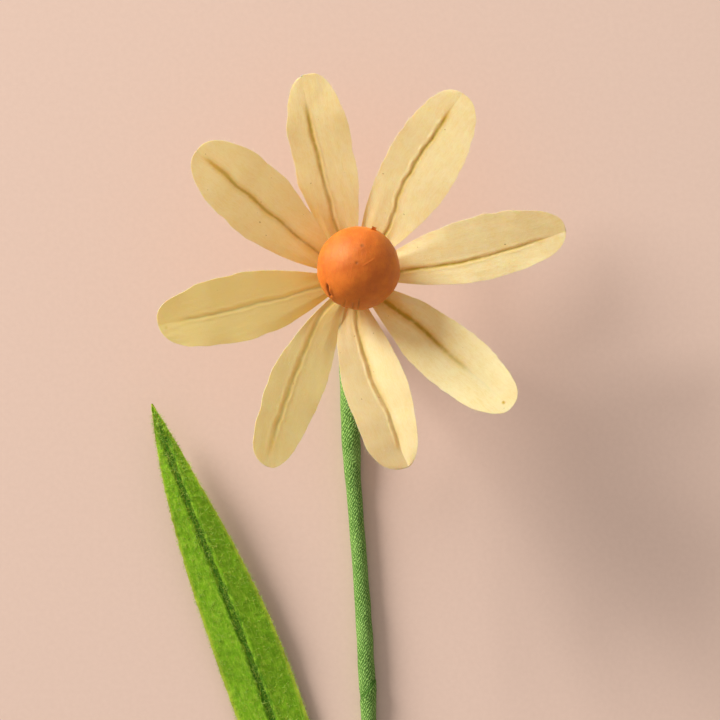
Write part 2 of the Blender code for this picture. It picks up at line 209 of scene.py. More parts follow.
def deselect_all() -> None:
    """Leave nothing selected, in object mode."""
    if bpy.context.object and bpy.context.object.mode != "OBJECT":
        bpy.ops.object.mode_set(mode="OBJECT")
    bpy.ops.object.select_all(action="DESELECT")


def take(piece: Piece) -> None:
    """Make a piece the only selected object and the active one.

    Args:
        piece: The piece to take.
    """
    deselect_all()
    piece.select_set(True)
    bpy.context.view_layer.objects.active = piece


def new_grid(name: str, across: int, along: int) -> tuple[Piece, Array]:
    """Add a grid as the blank of a sheet.

    Args:
        name: Name of the piece.
        across: Number of faces across.
        along: Number of faces along.

    Returns:
        The object, and its points' places on the grid, from -1 to 1 across and along.
    """
    deselect_all()
    bpy.ops.mesh.primitive_grid_add(x_subdivisions=across, y_subdivisions=along, size=2.0)
    piece = bpy.context.object
    piece.name = name
    piece.data.name = name
    return piece, points_of(piece)[:, :2]


def points_of(piece: Piece) -> Array:
    """Read a mesh's points, one row for each.

    Args:
        piece: The piece.

    Returns:
        The points, in the mesh's own units.
    """
    places = np.empty(len(piece.data.vertices) * 3)
    piece.data.vertices.foreach_get("co", places)
    return places.reshape(-1, 3)


def spread_columns(columns: Array, reach: Array, inner: Array, share: float) -> Array:
    """Space a sheet's columns, closer together beside its crease.

    Args:
        columns: Places across the grid, from -1 to 1.
        reach: Half-width of the sheet.
        inner: Width taken up by the close columns.
        share: Share of the columns that are close.

    Returns:
        Signed distances from the crease, in millimetres.
    """
    v = np.abs(columns)
    past = np.clip((v - share) / (1.0 - share), 0.0, 1.0)
    return np.sign(columns) * (inner * np.minimum(v / share, 1.0) + (reach - inner) * past)


def set_points(piece: Piece, points: Array) -> None:
    """Move a mesh's points to places given in metres."""
    piece.data.vertices.foreach_set("co", np.ascontiguousarray(points, dtype=np.float32).ravel())
    piece.data.update()


def set_values(piece: Piece, **values: Array) -> None:
    """Store numbers for each point, for the material to read.

    Args:
        piece: The piece.
        values: The numbers, by the names the material reads.
    """
    for name, numbers in values.items():
        layer = piece.data.attributes.new(name, "FLOAT", "POINT")
        layer.data.foreach_set("value", np.ascontiguousarray(numbers, dtype=np.float32).ravel())


def set_place(piece: Piece, name: str, values: Array) -> None:
    """Store a place on the sheet for each point, in millimetres, for the material to read."""
    layer = piece.data.attributes.new(name, "FLOAT_VECTOR", "POINT")
    layer.data.foreach_set("vector", np.ascontiguousarray(values, dtype=np.float32).ravel())


def apply_modifier(piece: Piece, kind: str, **settings: object) -> None:
    """Add a modifier with its settings and apply it.

    Args:
        piece: The piece.
        kind: The modifier's type.
        settings: Its settings, by name.
    """
    take(piece)
    modifier = piece.modifiers.new(kind.lower(), kind)
    for key, value in settings.items():
        setattr(modifier, key, value)
    bpy.ops.object.modifier_apply(modifier=modifier.name)


def clean_up(piece: Piece, merge: float = 0.002 * MM) -> None:
    """Merge doubled points and turn the faces outwards.

    Args:
        piece: The piece.
        merge: Points closer than this, in metres, become one.
    """
    take(piece)
    bpy.ops.object.mode_set(mode="EDIT")
    bpy.ops.mesh.select_all(action="SELECT")
    bpy.ops.mesh.remove_doubles(threshold=merge)
    bpy.ops.mesh.normals_make_consistent(inside=False)
    bpy.ops.object.mode_set(mode="OBJECT")


def smooth(piece: Piece, sharp_deg: float = 60.0) -> None:
    """Shade a piece smooth, with edges sharper than an angle left crisp."""
    take(piece)
    bpy.ops.object.shade_smooth_by_angle(angle=math.radians(sharp_deg))


def dress(piece: Piece, material: Material) -> None:
    """Give a piece its one material."""
    piece.data.materials.clear()
    piece.data.materials.append(material)


def seat(piece: Piece, slot: Slot, *nodes: str) -> None:
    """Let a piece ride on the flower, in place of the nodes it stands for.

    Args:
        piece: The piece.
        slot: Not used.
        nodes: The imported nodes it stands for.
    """
    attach(piece, "root")
    if nodes:
        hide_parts(*nodes)
    LOG.info("%s: %d faces", piece.name, len(piece.data.polygons))


def finish(piece: Piece, material: Material, slot: Slot, *nodes: str,
           sharp_deg: float = 80.0, thickness: float = 0.0, merge: float = 0.002 * MM) -> Piece:
    """Give a shaped piece its thickness, then clean, smooth, dress and seat it.

    Args:
        piece: The shaped piece.
        material: Its finish.
        slot: The record's slot for it.
        nodes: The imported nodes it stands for.
        sharp_deg: Edges sharper than this stay crisp.
        thickness: Thickness of the sheet in millimetres, or 0 for a closed shape.
        merge: Points closer than this, in metres, become one.

    Returns:
        The finished piece.
    """
    if thickness > 0.0:
        apply_modifier(piece, "SOLIDIFY", thickness=thickness * MM, offset=0.0)
    clean_up(piece, merge)
    smooth(piece, sharp_deg)
    dress(piece, material)
    seat(piece, slot, *nodes)
    return piece


def wire_along(name: str, points: Array, radius: float, material: Material,
               *nodes: str) -> Piece:
    """Make a thin round wire with closed ends.

    Args:
        name: Name of the piece.
        points: Points of its centre line, in metres.
        radius: Its radius, in millimetres.
        material: The wire's finish.
        nodes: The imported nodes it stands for.

    Returns:
        The finished wire.
    """
    deselect_all()
    curve = bpy.data.curves.new(name, "CURVE")
    curve.dimensions = "3D"
    curve.bevel_depth = radius * MM
    curve.bevel_resolution = 2
    curve.use_fill_caps = True
    spline = curve.splines.new("POLY")
    spline.points.add(len(points) - 1)
    for knot, place in zip(spline.points, points):
        knot.co = (*place, 1.0)
    piece = bpy.data.objects.new(name, curve)
    bpy.context.scene.collection.objects.link(piece)
    take(piece)
    bpy.ops.object.convert(target="MESH")
    return finish(bpy.context.object, material, Slot.THIN_WIRE, *nodes, sharp_deg=50.0, merge=0.001 * MM)


def box_centre(node: str) -> Array:
    """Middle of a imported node's box, in metres."""
    low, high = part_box(node)
    return (np.array(low) + np.array(high)) / 2.0


# ---------------------------------------------------------------- material helpers

class Nodes:
    """A node tree with short calls for what the finishes use."""

    def __init__(self, tree: bpy.types.NodeTree) -> None:
        """Work on a tree that exists."""
        self.tree = tree

    def add(self, kind: str, **settings: object) -> bpy.types.Node:
        """Add a node and set its plain properties.

        Args:
            kind: The node's type, without its prefix.
            settings: Its plain properties, by name.

        Returns:
            The node.
        """
        node = self.tree.nodes.new("ShaderNode" + kind)
        for key, value in settings.items():
            setattr(node, key, value)
        return node

    def put(self, socket: Socket, value: Input) -> None:
        """Link an output to a socket, or set the socket's value.

        Args:
            socket: The input to fill.
            value: An output, a colour or a number.
        """
        if isinstance(value, Socket):
            self.tree.links.new(value, socket)
        elif isinstance(value, tuple) and len(value) == 3 and socket.type == "RGBA":
            socket.default_value = (*value, 1.0)
        else:
            socket.default_value = value

    def math(self, operation: str, first: Input, second: Input = 0.0,
             clamp: bool = False) -> Socket:
        """Add a Math node and return its output.

        Args:
            operation: What the node works out.
            first: First input.
            second: Second input.
            clamp: Whether the result is held from 0 to 1.

        Returns:
            The node's output.
        """
        node = self.add("Math", operation=operation, use_clamp=clamp)
        self.put(node.inputs[0], first)
        self.put(node.inputs[1], second)
        return node.outputs[0]

    def mix(self, share: Input, first: Input, second: Input) -> Socket:
        """Mix two colours and return the colour.

        Args:
            share: Share of the second colour.
            first: First colour.
            second: Second colour.

        Returns:
            The mixed colour.
        """
        node = self.add("Mix", data_type="RGBA")
        self.put(node.inputs[0], share)
        self.put(node.inputs[6], first)
        self.put(node.inputs[7], second)
        return node.outputs[2]

    def window(self, value: Input, low: float, high: float, eased: bool = True) -> Socket:
        """Map low to 0 and high to 1, clamped.

        Args:
            value: The input.
            low: The value that becomes 0.
            high: The value that becomes 1.
            eased: Whether the ramp eases in and out.

        Returns:
            A share from 0 to 1.
        """
        kind = "SMOOTHSTEP" if eased else "LINEAR"
        node = self.add("MapRange", interpolation_type=kind)
        self.put(node.inputs["Value"], value)
        node.inputs["From Min"].default_value = low
        node.inputs["From Max"].default_value = high
        return node.outputs["Result"]

    def stretched(self, place: Input, scale: Colour, turn_deg: float = 0.0) -> Socket:
        """Scale and turn a place before a pattern reads it.

        Args:
            place: The place to change.
            scale: Scale on each axis.
            turn_deg: Turn about Z.

        Returns:
            The new place.
        """
        node = self.add("Mapping")
        self.put(node.inputs["Vector"], place)
        node.inputs["Scale"].default_value = scale
        node.inputs["Rotation"].default_value = (0.0, 0.0, math.radians(turn_deg))
        return node.outputs["Vector"]

    def noise(self, place: Input, scale: Input, detail: float = 3.0,
              rough: float = 0.55) -> Socket:
        """Add a Noise Texture and return its value.

        Args:
            place: The place the pattern reads.
            scale: How fine the noise is.
            detail: How many finer layers it has.
            rough: How strong they are.

        Returns:
            The noise, from 0 to 1.
        """
        node = self.add("TexNoise")
        self.put(node.inputs["Vector"], place)
        self.put(node.inputs["Scale"], scale)
        node.inputs["Detail"].default_value = detail
        node.inputs["Roughness"].default_value = rough
        return node.outputs[0]

    def attribute(self, name: str, output: str = "Fac") -> Socket:
        """Read an attribute of the piece."""
        return self.add("Attribute", attribute_name=name).outputs[output]

    def strongest(self, fields: Sequence[Socket]) -> Socket:
        """Take the highest of some outputs at each place.

        Args:
            fields: The outputs.

        Returns:
            Their highest value.
        """
        best = fields[0]
        for field in fields[1:]:
            best = self.math("MAXIMUM", best, field)
        return best

    def own_place(self) -> Socket:
        """The piece's own coordinates, in millimetres."""
        return self.stretched(self.add("TexCoord").outputs["Object"], PER_METRE)

    def group(self, tree: bpy.types.NodeTree, **values: object) -> bpy.types.Node:
        """Place a node group with values on its named inputs.

        Args:
            tree: The group.
            values: Its inputs, by name.

        Returns:
            The group node.
        """
        node = self.add("Group")
        node.node_tree = tree
        for key, value in values.items():
            self.put(node.inputs[key.replace("_", " ")], value)
        return node

    def bump(self, height: Input, strength: float, distance: float) -> Socket:
        """Turn a height into a normal.

        Args:
            height: The height.
            strength: Strength, from 0 to 1.
            distance: Height of the relief, in metres.

        Returns:
            The normal.
        """
        node = self.add("Bump")
        self.put(node.inputs["Height"], height)
        node.inputs["Strength"].default_value = strength
        node.inputs["Distance"].default_value = distance
        return node.outputs["Normal"]

    def paint(self, shader: bpy.types.Node, colour: Input, rough: Input,
              plain: dict[str, float | tuple[float, ...]]) -> None:
        """Give a shader its colour, its roughness and its plain values.

        Args:
            shader: The Principled shader.
            colour: Its base colour.
            rough: Its roughness.
            plain: Values of its other inputs, by name.
        """
        self.put(shader.inputs["Base Color"], colour)
        self.put(shader.inputs["Roughness"], rough)
        for label, value in plain.items():
            shader.inputs[label].default_value = value


def new_group(name: str, inputs: dict[str, str], outputs: dict[str, str]) -> tuple:
    """Make an empty shader node group.

    Args:
        name: Name of the group.
        inputs: Input names, and whether each is a Float or a Vector.
        outputs: Output names, and the kind of each.

    Returns:
        The tree, a Nodes helper on it, its input node and its output node.
    """
    tree = bpy.data.node_groups.new(name, "ShaderNodeTree")
    for label, kind in inputs.items():
        tree.interface.new_socket(name=label, in_out="INPUT", socket_type="NodeSocket" + kind)
    for label, kind in outputs.items():
        tree.interface.new_socket(name=label, in_out="OUTPUT", socket_type="NodeSocket" + kind)
    entry = tree.nodes.new("NodeGroupInput")
    leave = tree.nodes.new("NodeGroupOutput")
    return tree, Nodes(tree), entry, leave


def new_material(name: str) -> tuple[Material, Nodes, bpy.types.Node]:
    """Make a Principled material and return it with its helper and shader.

    Args:
        name: Name of the material.

    Returns:
        The material, a Nodes helper on it and its shader.
    """
    material = bpy.data.materials.new(name)
    material.use_nodes = True
    shader = material.node_tree.nodes["Principled BSDF"]
    return material, Nodes(material.node_tree), shader


def fibre_group() -> bpy.types.NodeTree:
    """Long paper fibres: thin meandering lines in three directions.

    Returns:
        A group with Place and Scale in, and Lines and Cloud out.
    """
    tree, nodes, entry, leave = new_group(
        "paper_fibres", {"Place": "Vector", "Scale": "Float"}, {"Lines": "Float", "Cloud": "Float"})
    place = entry.outputs["Place"]
    lines = []
    for turn, squeeze in ((8.0, 0.10), (-31.0, 0.14), (52.0, 0.12)):
        turned = nodes.stretched(place, (1.0, squeeze, 1.0), turn)
        field = nodes.noise(turned, entry.outputs["Scale"], 2.5, 0.6)
        ridge = nodes.math("ABSOLUTE", nodes.math("SUBTRACT", field, 0.5))
        lines.append(nodes.window(ridge, 0.022, 0.0))
    nodes.put(leave.inputs["Lines"], nodes.strongest(lines))
    cloud_scale = nodes.math("MULTIPLY", entry.outputs["Scale"], 0.5)
    nodes.put(leave.inputs["Cloud"], nodes.noise(place, cloud_scale, 5.0, 0.65))
    return tree


def fleece_group() -> bpy.types.NodeTree:
    """Short matted fibres, as on felt or soft paper.

    Returns:
        A group with Place and Scale in, and Strands and Height out.
    """
    tree, nodes, entry, leave = new_group(
        "short_fleece", {"Place": "Vector", "Scale": "Float"}, {"Strands": "Float", "Height": "Float"})
    strands = nodes.strongest([
        nodes.noise(nodes.stretched(entry.outputs["Place"], (1.0, 0.28, 1.0), turn),
                    entry.outputs["Scale"], 3.0, 0.7) for turn in (12.0, 74.0, -43.0)])
    nodes.put(leave.inputs["Strands"], nodes.window(strands, 0.48, 0.74))
    fine = nodes.noise(entry.outputs["Place"], nodes.math("MULTIPLY", entry.outputs["Scale"], 2.2))
    nodes.put(leave.inputs["Height"], nodes.math("ADD", strands, fine))
    return tree


@dataclass(frozen=True)
class PetalFinish:
    """Cream mulberry paper: translucent and fibrous, with painted olive shade along the crease pinched
    round a wire and at the root, a painted backlight glow on some petals and painted shade on others.
    """

    light: Colour = (0.90, 0.665, 0.385)
    deep: Colour = (0.87, 0.615, 0.315)
    fibre: Colour = (0.95, 0.78, 0.54)
    # Painted shade colour of the pinched crease and of the root.
    crease: Colour = (0.45, 0.325, 0.040)
    fleck: Colour = (0.22, 0.12, 0.03)
    # Painted glow of light through the backlit paper.
    warm: Colour = (0.99, 0.70, 0.31)
    # Painted shade that darkens whole petals.
    dusk: Colour = (0.66, 0.47, 0.26)
    subsurface: float = 0.85
    reach: float = 0.65 * MM

    def material(self, fibres: bpy.types.NodeTree) -> Material:
        """Build the paper.

        Args:
            fibres: The paper fibre group.

        Returns:
            The petals' material.
        """
        material, nodes, shader = new_material("petal_mulberry_paper")
        sheet = nodes.attribute("sheet", "Vector")
        weave = nodes.group(fibres, Place=sheet, Scale=0.9)
        fine = nodes.group(fibres, Place=sheet, Scale=2.3)
        cloud = nodes.window(weave.outputs["Cloud"], 0.33, 0.68)
        colour = nodes.mix(cloud, self.deep, self.light)
        threads = nodes.math("MAXIMUM", weave.outputs["Lines"], fine.outputs["Lines"])
        colour = nodes.mix(nodes.math("MULTIPLY", threads, 0.34), colour, self.fibre)
        patchy = nodes.window(nodes.noise(sheet, 0.32, 3.0, 0.7), 0.30, 0.62)
        patchy = nodes.math("ADD", nodes.math("MULTIPLY", patchy, 0.35), 0.66)
        # Painted olive shade along the pinched crease, broken into patches; the attribute also holds a
        # few dark spots near the tips.
        crease_shade_and_spot = nodes.math("MULTIPLY", nodes.attribute("crease"), patchy)
        colour = nodes.mix(crease_shade_and_spot, colour, self.crease)
        fleck = nodes.window(nodes.noise(sheet, 1.15, 1.0), 0.785, 0.81)
        colour = nodes.mix(nodes.math("MULTIPLY", fleck, 0.6), colour, self.fleck)
        # Painted backlight glow on the petals lit through from behind.
        colour = nodes.mix(nodes.attribute("warmth"), colour, self.warm)
        # Painted shade over whole petals.
        colour = nodes.mix(nodes.attribute("dusk"), colour, self.dusk)
        # Painted shade at the root, where the petals meet under the ball.
        root = nodes.math("MULTIPLY", nodes.attribute("root"), 0.35)
        colour = nodes.mix(root, colour, self.crease)
        nodes.paint(shader, colour, nodes.window(cloud, -1.6, 1.1), {
            "Specular IOR Level": 0.25, "Subsurface Weight": self.subsurface,
            "Subsurface Radius": (1.0, 0.58, 0.24), "Subsurface Scale": self.reach})
        height = nodes.math("MULTIPLY", threads, 0.5)
        height = nodes.math("ADD", height, nodes.noise(sheet, 2.6, 6.0, 0.7))
        nodes.put(shader.inputs["Normal"], nodes.bump(height, 0.3, 0.05 * MM))
        return material


@dataclass(frozen=True)
class BallFinish:
    """Orange paper skin, matte, with painted shade down in its slits, gathers and pits."""

    light: Colour = (0.79, 0.200, 0.010)
    deep: Colour = (0.68, 0.135, 0.003)
    # Dark brown, for random specks and for the painted shade in slits, gathers and pits.
    slit: Colour = (0.10, 0.022, 0.004)

    def material(self, fibres: bpy.types.NodeTree) -> Material:
        """Build the orange paper.

        Args:
            fibres: The paper fibre group.

        Returns:
            The ball's material.
        """
        material, nodes, shader = new_material("ball_orange_paper")
        place = nodes.own_place()
        weave = nodes.group(fibres, Place=place, Scale=0.7)
        cloud = nodes.window(weave.outputs["Cloud"], 0.32, 0.70)
        colour = nodes.mix(cloud, self.deep, self.light)
        speck = nodes.window(nodes.noise(place, 3.2, 2.0), 0.67, 0.74)
        colour = nodes.mix(nodes.math("MULTIPLY", speck, 0.35), colour, self.slit)
        # Painted shade in the slits, gathers and pits, read from the groove attribute.
        colour = nodes.mix(nodes.attribute("groove"), colour, self.slit)
        nodes.paint(shader, colour, nodes.window(cloud, -6.0, 4.7, False), {
            "Specular IOR Level": 1.0, "Specular Tint": (1.0, 0.78, 0.44, 1.0),
            "Diffuse Roughness": 1.0, "Subsurface Weight": 0.15,
            "Subsurface Radius": (1.0, 0.22, 0.05), "Subsurface Scale": 1.6 * MM,
            "Sheen Weight": 0.06, "Sheen Roughness": 0.6, "Sheen Tint": (1.0, 0.78, 0.30, 1.0)})
        height = nodes.math("ADD", nodes.noise(place, 3.4, 6.0, 0.72), weave.outputs["Lines"])
        nodes.put(shader.inputs["Normal"], nodes.bump(height, 0.35, 0.07 * MM))
        return material


@dataclass(frozen=True)
class TapeFinish:
    """Green crepe tape: slanting rows of fine crinkles, with a painted highlight on their crests and
    painted shade in their valleys.
    """

    # Pale green of the painted highlight on the crests, also used for random paler patches.
    crest: Colour = (0.31, 0.54, 0.13)
    # Dark green of the painted shade in the valleys, also used for the seams.
    valley: Colour = (0.045, 0.14, 0.008)
    slant_deg: float = 33.0

    def material(self) -> Material:
        """Build the crepe tape.

        Returns:
            The tape's material.
        """
        material, nodes, shader = new_material("stem_crepe_tape")
        sheet = nodes.attribute("sheet", "Vector")
        wobble = nodes.add("TexNoise")
        nodes.put(wobble.inputs["Vector"], sheet)
        wobble.inputs["Scale"].default_value = 0.85
        wobble.inputs["Detail"].default_value = 3.0
        shift = nodes.add("VectorMath", operation="SCALE")
        nodes.put(shift.inputs[0], wobble.outputs["Color"])
        shift.inputs["Scale"].default_value = 1.25
        bent = nodes.add("VectorMath", operation="ADD")
        nodes.put(bent.inputs[0], sheet)
        nodes.put(bent.inputs[1], shift.outputs[0])
        crinkle = nodes.stretched(bent.outputs[0], (1.0, 1.0, 1.0), self.slant_deg)
        rows = self.wave(nodes, crinkle, "X", 0.52)
        beads = self.wave(nodes, crinkle, "Y", 0.86)
        cells = nodes.math("MULTIPLY", rows, nodes.math("ADD", nodes.math("MULTIPLY", beads, 0.65), 0.35))
        grain = nodes.noise(sheet, 3.2, 4.0, 0.7)
        # Painted highlight and shade: crinkle crests lighter and valleys darker, broken up by random
        # grain.
        crest = nodes.window(nodes.math("ADD", cells, nodes.math("MULTIPLY", grain, 0.95)), 0.45, 1.25)
        colour = nodes.mix(crest, self.valley, self.crest)
        patch = nodes.window(nodes.noise(sheet, 0.16, 2.0), 0.35, 0.7)
        colour = nodes.mix(nodes.math("MULTIPLY", patch, 0.25), colour, self.crest)
        colour = nodes.mix(nodes.math("MULTIPLY", nodes.attribute("seam"), 0.9), colour, self.valley)
        nodes.paint(shader, colour, nodes.window(crest, -2.6, 1.6), {
            "Specular IOR Level": 0.3})
        height = nodes.math("ADD", cells, nodes.math("MULTIPLY", grain, 0.5))
        nodes.put(shader.inputs["Normal"], nodes.bump(height, 0.9, 0.16 * MM))
        return material

    def wave(self, nodes: Nodes, place: Input, axis: str, pitch: float) -> Socket:
        """Sine ridges across one axis, from 0 to 1, a pitch in millimetres apart.

        Args:
            nodes: The tape's node tree.
            place: The place the pattern reads.
            axis: Axis that crosses the ridges.
            pitch: Distance between ridges, in millimetres.

        Returns:
            The ridges.
        """
        split = nodes.add("SeparateXYZ")
        nodes.put(split.inputs[0], place)
        turns = nodes.math("MULTIPLY", split.outputs[axis], 2.0 * math.pi / pitch)
        return nodes.math("ADD", nodes.math("MULTIPLY", nodes.math("SINE", turns), 0.5), 0.5)


@dataclass(frozen=True)
class LeafFinish:
    """Green felted paper: matted short fibres, yellower edges and painted shade along the pinched midrib.
    """

    base: Colour = (0.185, 0.405, 0.005)
    strand: Colour = (0.42, 0.62, 0.055)
    edge: Colour = (0.58, 0.60, 0.065)
    # Dark green, for random patches and for the painted shade along the midrib.
    rib: Colour = (0.05, 0.17, 0.003)

    def material(self, fleece: bpy.types.NodeTree) -> Material:
        """Build the felted paper.

        Args:
            fleece: The short fleece group.

        Returns:
            The leaf's material.
        """
        material, nodes, shader = new_material("leaf_felted_paper")
        sheet = nodes.attribute("sheet", "Vector")
        mat = nodes.group(fleece, Place=sheet, Scale=1.7)
        cloud = nodes.window(nodes.noise(sheet, 0.45, 4.0, 0.6), 0.3, 0.72)
        colour = nodes.mix(nodes.math("MULTIPLY", cloud, 0.35), self.base, self.rib)
        colour = nodes.mix(nodes.math("MULTIPLY", mat.outputs["Strands"], 0.62), colour, self.strand)
        colour = nodes.mix(nodes.math("MULTIPLY", nodes.attribute("rim"), 0.6), colour, self.edge)
        # Painted shade along the midrib, broken up by the strands.
        fuzzy_rib_shade = nodes.math("MULTIPLY", mat.outputs["Strands"], -1.45)
        fuzzy_rib_shade = nodes.math("ADD", nodes.math("MULTIPLY", nodes.attribute("crease"), 1.75), fuzzy_rib_shade, True)
        colour = nodes.mix(fuzzy_rib_shade, colour, self.rib)
        nodes.paint(shader, colour, nodes.window(mat.outputs["Strands"], -6.0, 1.6), {
            "Specular IOR Level": 0.2, "Subsurface Weight": 0.25,
            "Subsurface Radius": (0.7, 1.0, 0.2), "Subsurface Scale": 0.5 * MM,
            "Sheen Weight": 0.25, "Sheen Roughness": 0.5, "Sheen Tint": (0.70, 0.95, 0.20, 1.0)})
        nodes.put(shader.inputs["Normal"], nodes.bump(mat.outputs["Height"], 0.8, 0.22 * MM))
        return material


@dataclass(frozen=True)
class FluffFinish:
    """Loose fibres: one pale colour that varies a little from strand to strand."""

    name: str
    light: Colour
    deep: Colour

    def material(self) -> Material:
        """Build the fibre finish.

        Returns:
            The fibres' material.
        """
        material, nodes, shader = new_material(self.name)
        place = nodes.own_place()
        vary = nodes.window(nodes.noise(place, 0.8, 2.0), 0.3, 0.7)
        nodes.paint(shader, nodes.mix(vary, self.deep, self.light), nodes.window(vary, -3.0, 2.0), {
            "Specular IOR Level": 0.3, "Subsurface Weight": 0.3, "Subsurface Scale": 0.2 * MM})
        return material


@dataclass(frozen=True)
class WireFinish:
    """Wire, bare or wrapped in thread: fine slanting streaks over a plain colour."""

    name: str
    light: Colour
    deep: Colour
    roughness: float
    metallic: float

    SPREAD = 0.24

    def material(self) -> Material:
        """Build the wire finish.

        Returns:
            The wire's material.
        """
        material, nodes, shader = new_material(self.name)
        place = nodes.own_place()
        streak = nodes.noise(nodes.stretched(place, (1.0, 0.3, 1.0), 40.0), 2.8, 4.0, 0.7)
        share = nodes.window(streak, 0.35, 0.68)
        low = self.roughness - 0.5 * self.SPREAD
        rough = nodes.math("ADD", nodes.math("MULTIPLY", share, self.SPREAD), low)
        nodes.paint(shader, nodes.mix(share, self.deep, self.light), rough, {
            "Metallic": self.metallic})
        nodes.put(shader.inputs["Normal"], nodes.bump(streak, 0.4, 0.04 * MM))
        return material


# ---------------------------------------------------------------- the head

@dataclass
class Head:
    """Where the petals meet, and how the head leans."""

    tilt_deg: float = 13.0
    lean_deg: float = 51.0
    cup_slope: float = 0.25
    height: float = 27.0
    ball_rise: float = 10.1

    def __post_init__(self) -> None:
        """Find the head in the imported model."""
        tilt = math.radians(self.tilt_deg)
        lean = math.radians(self.lean_deg)
        level = math.sin(tilt)
        self.axis = np.array([level * math.cos(lean), level * math.sin(lean), math.cos(tilt)])
        self.origin = box_centre("centre_ball") / MM - self.axis * self.ball_rise
        self.origin[2] -= self.height

    def place(self, points: Array) -> Array:
        """Millimetres round the head to metres in the model's frame."""
        return (points + self.origin) * MM

    @property
    def middle(self) -> Array:
        """The point where the petals meet."""
        return np.array([0.0, 0.0, self.height])


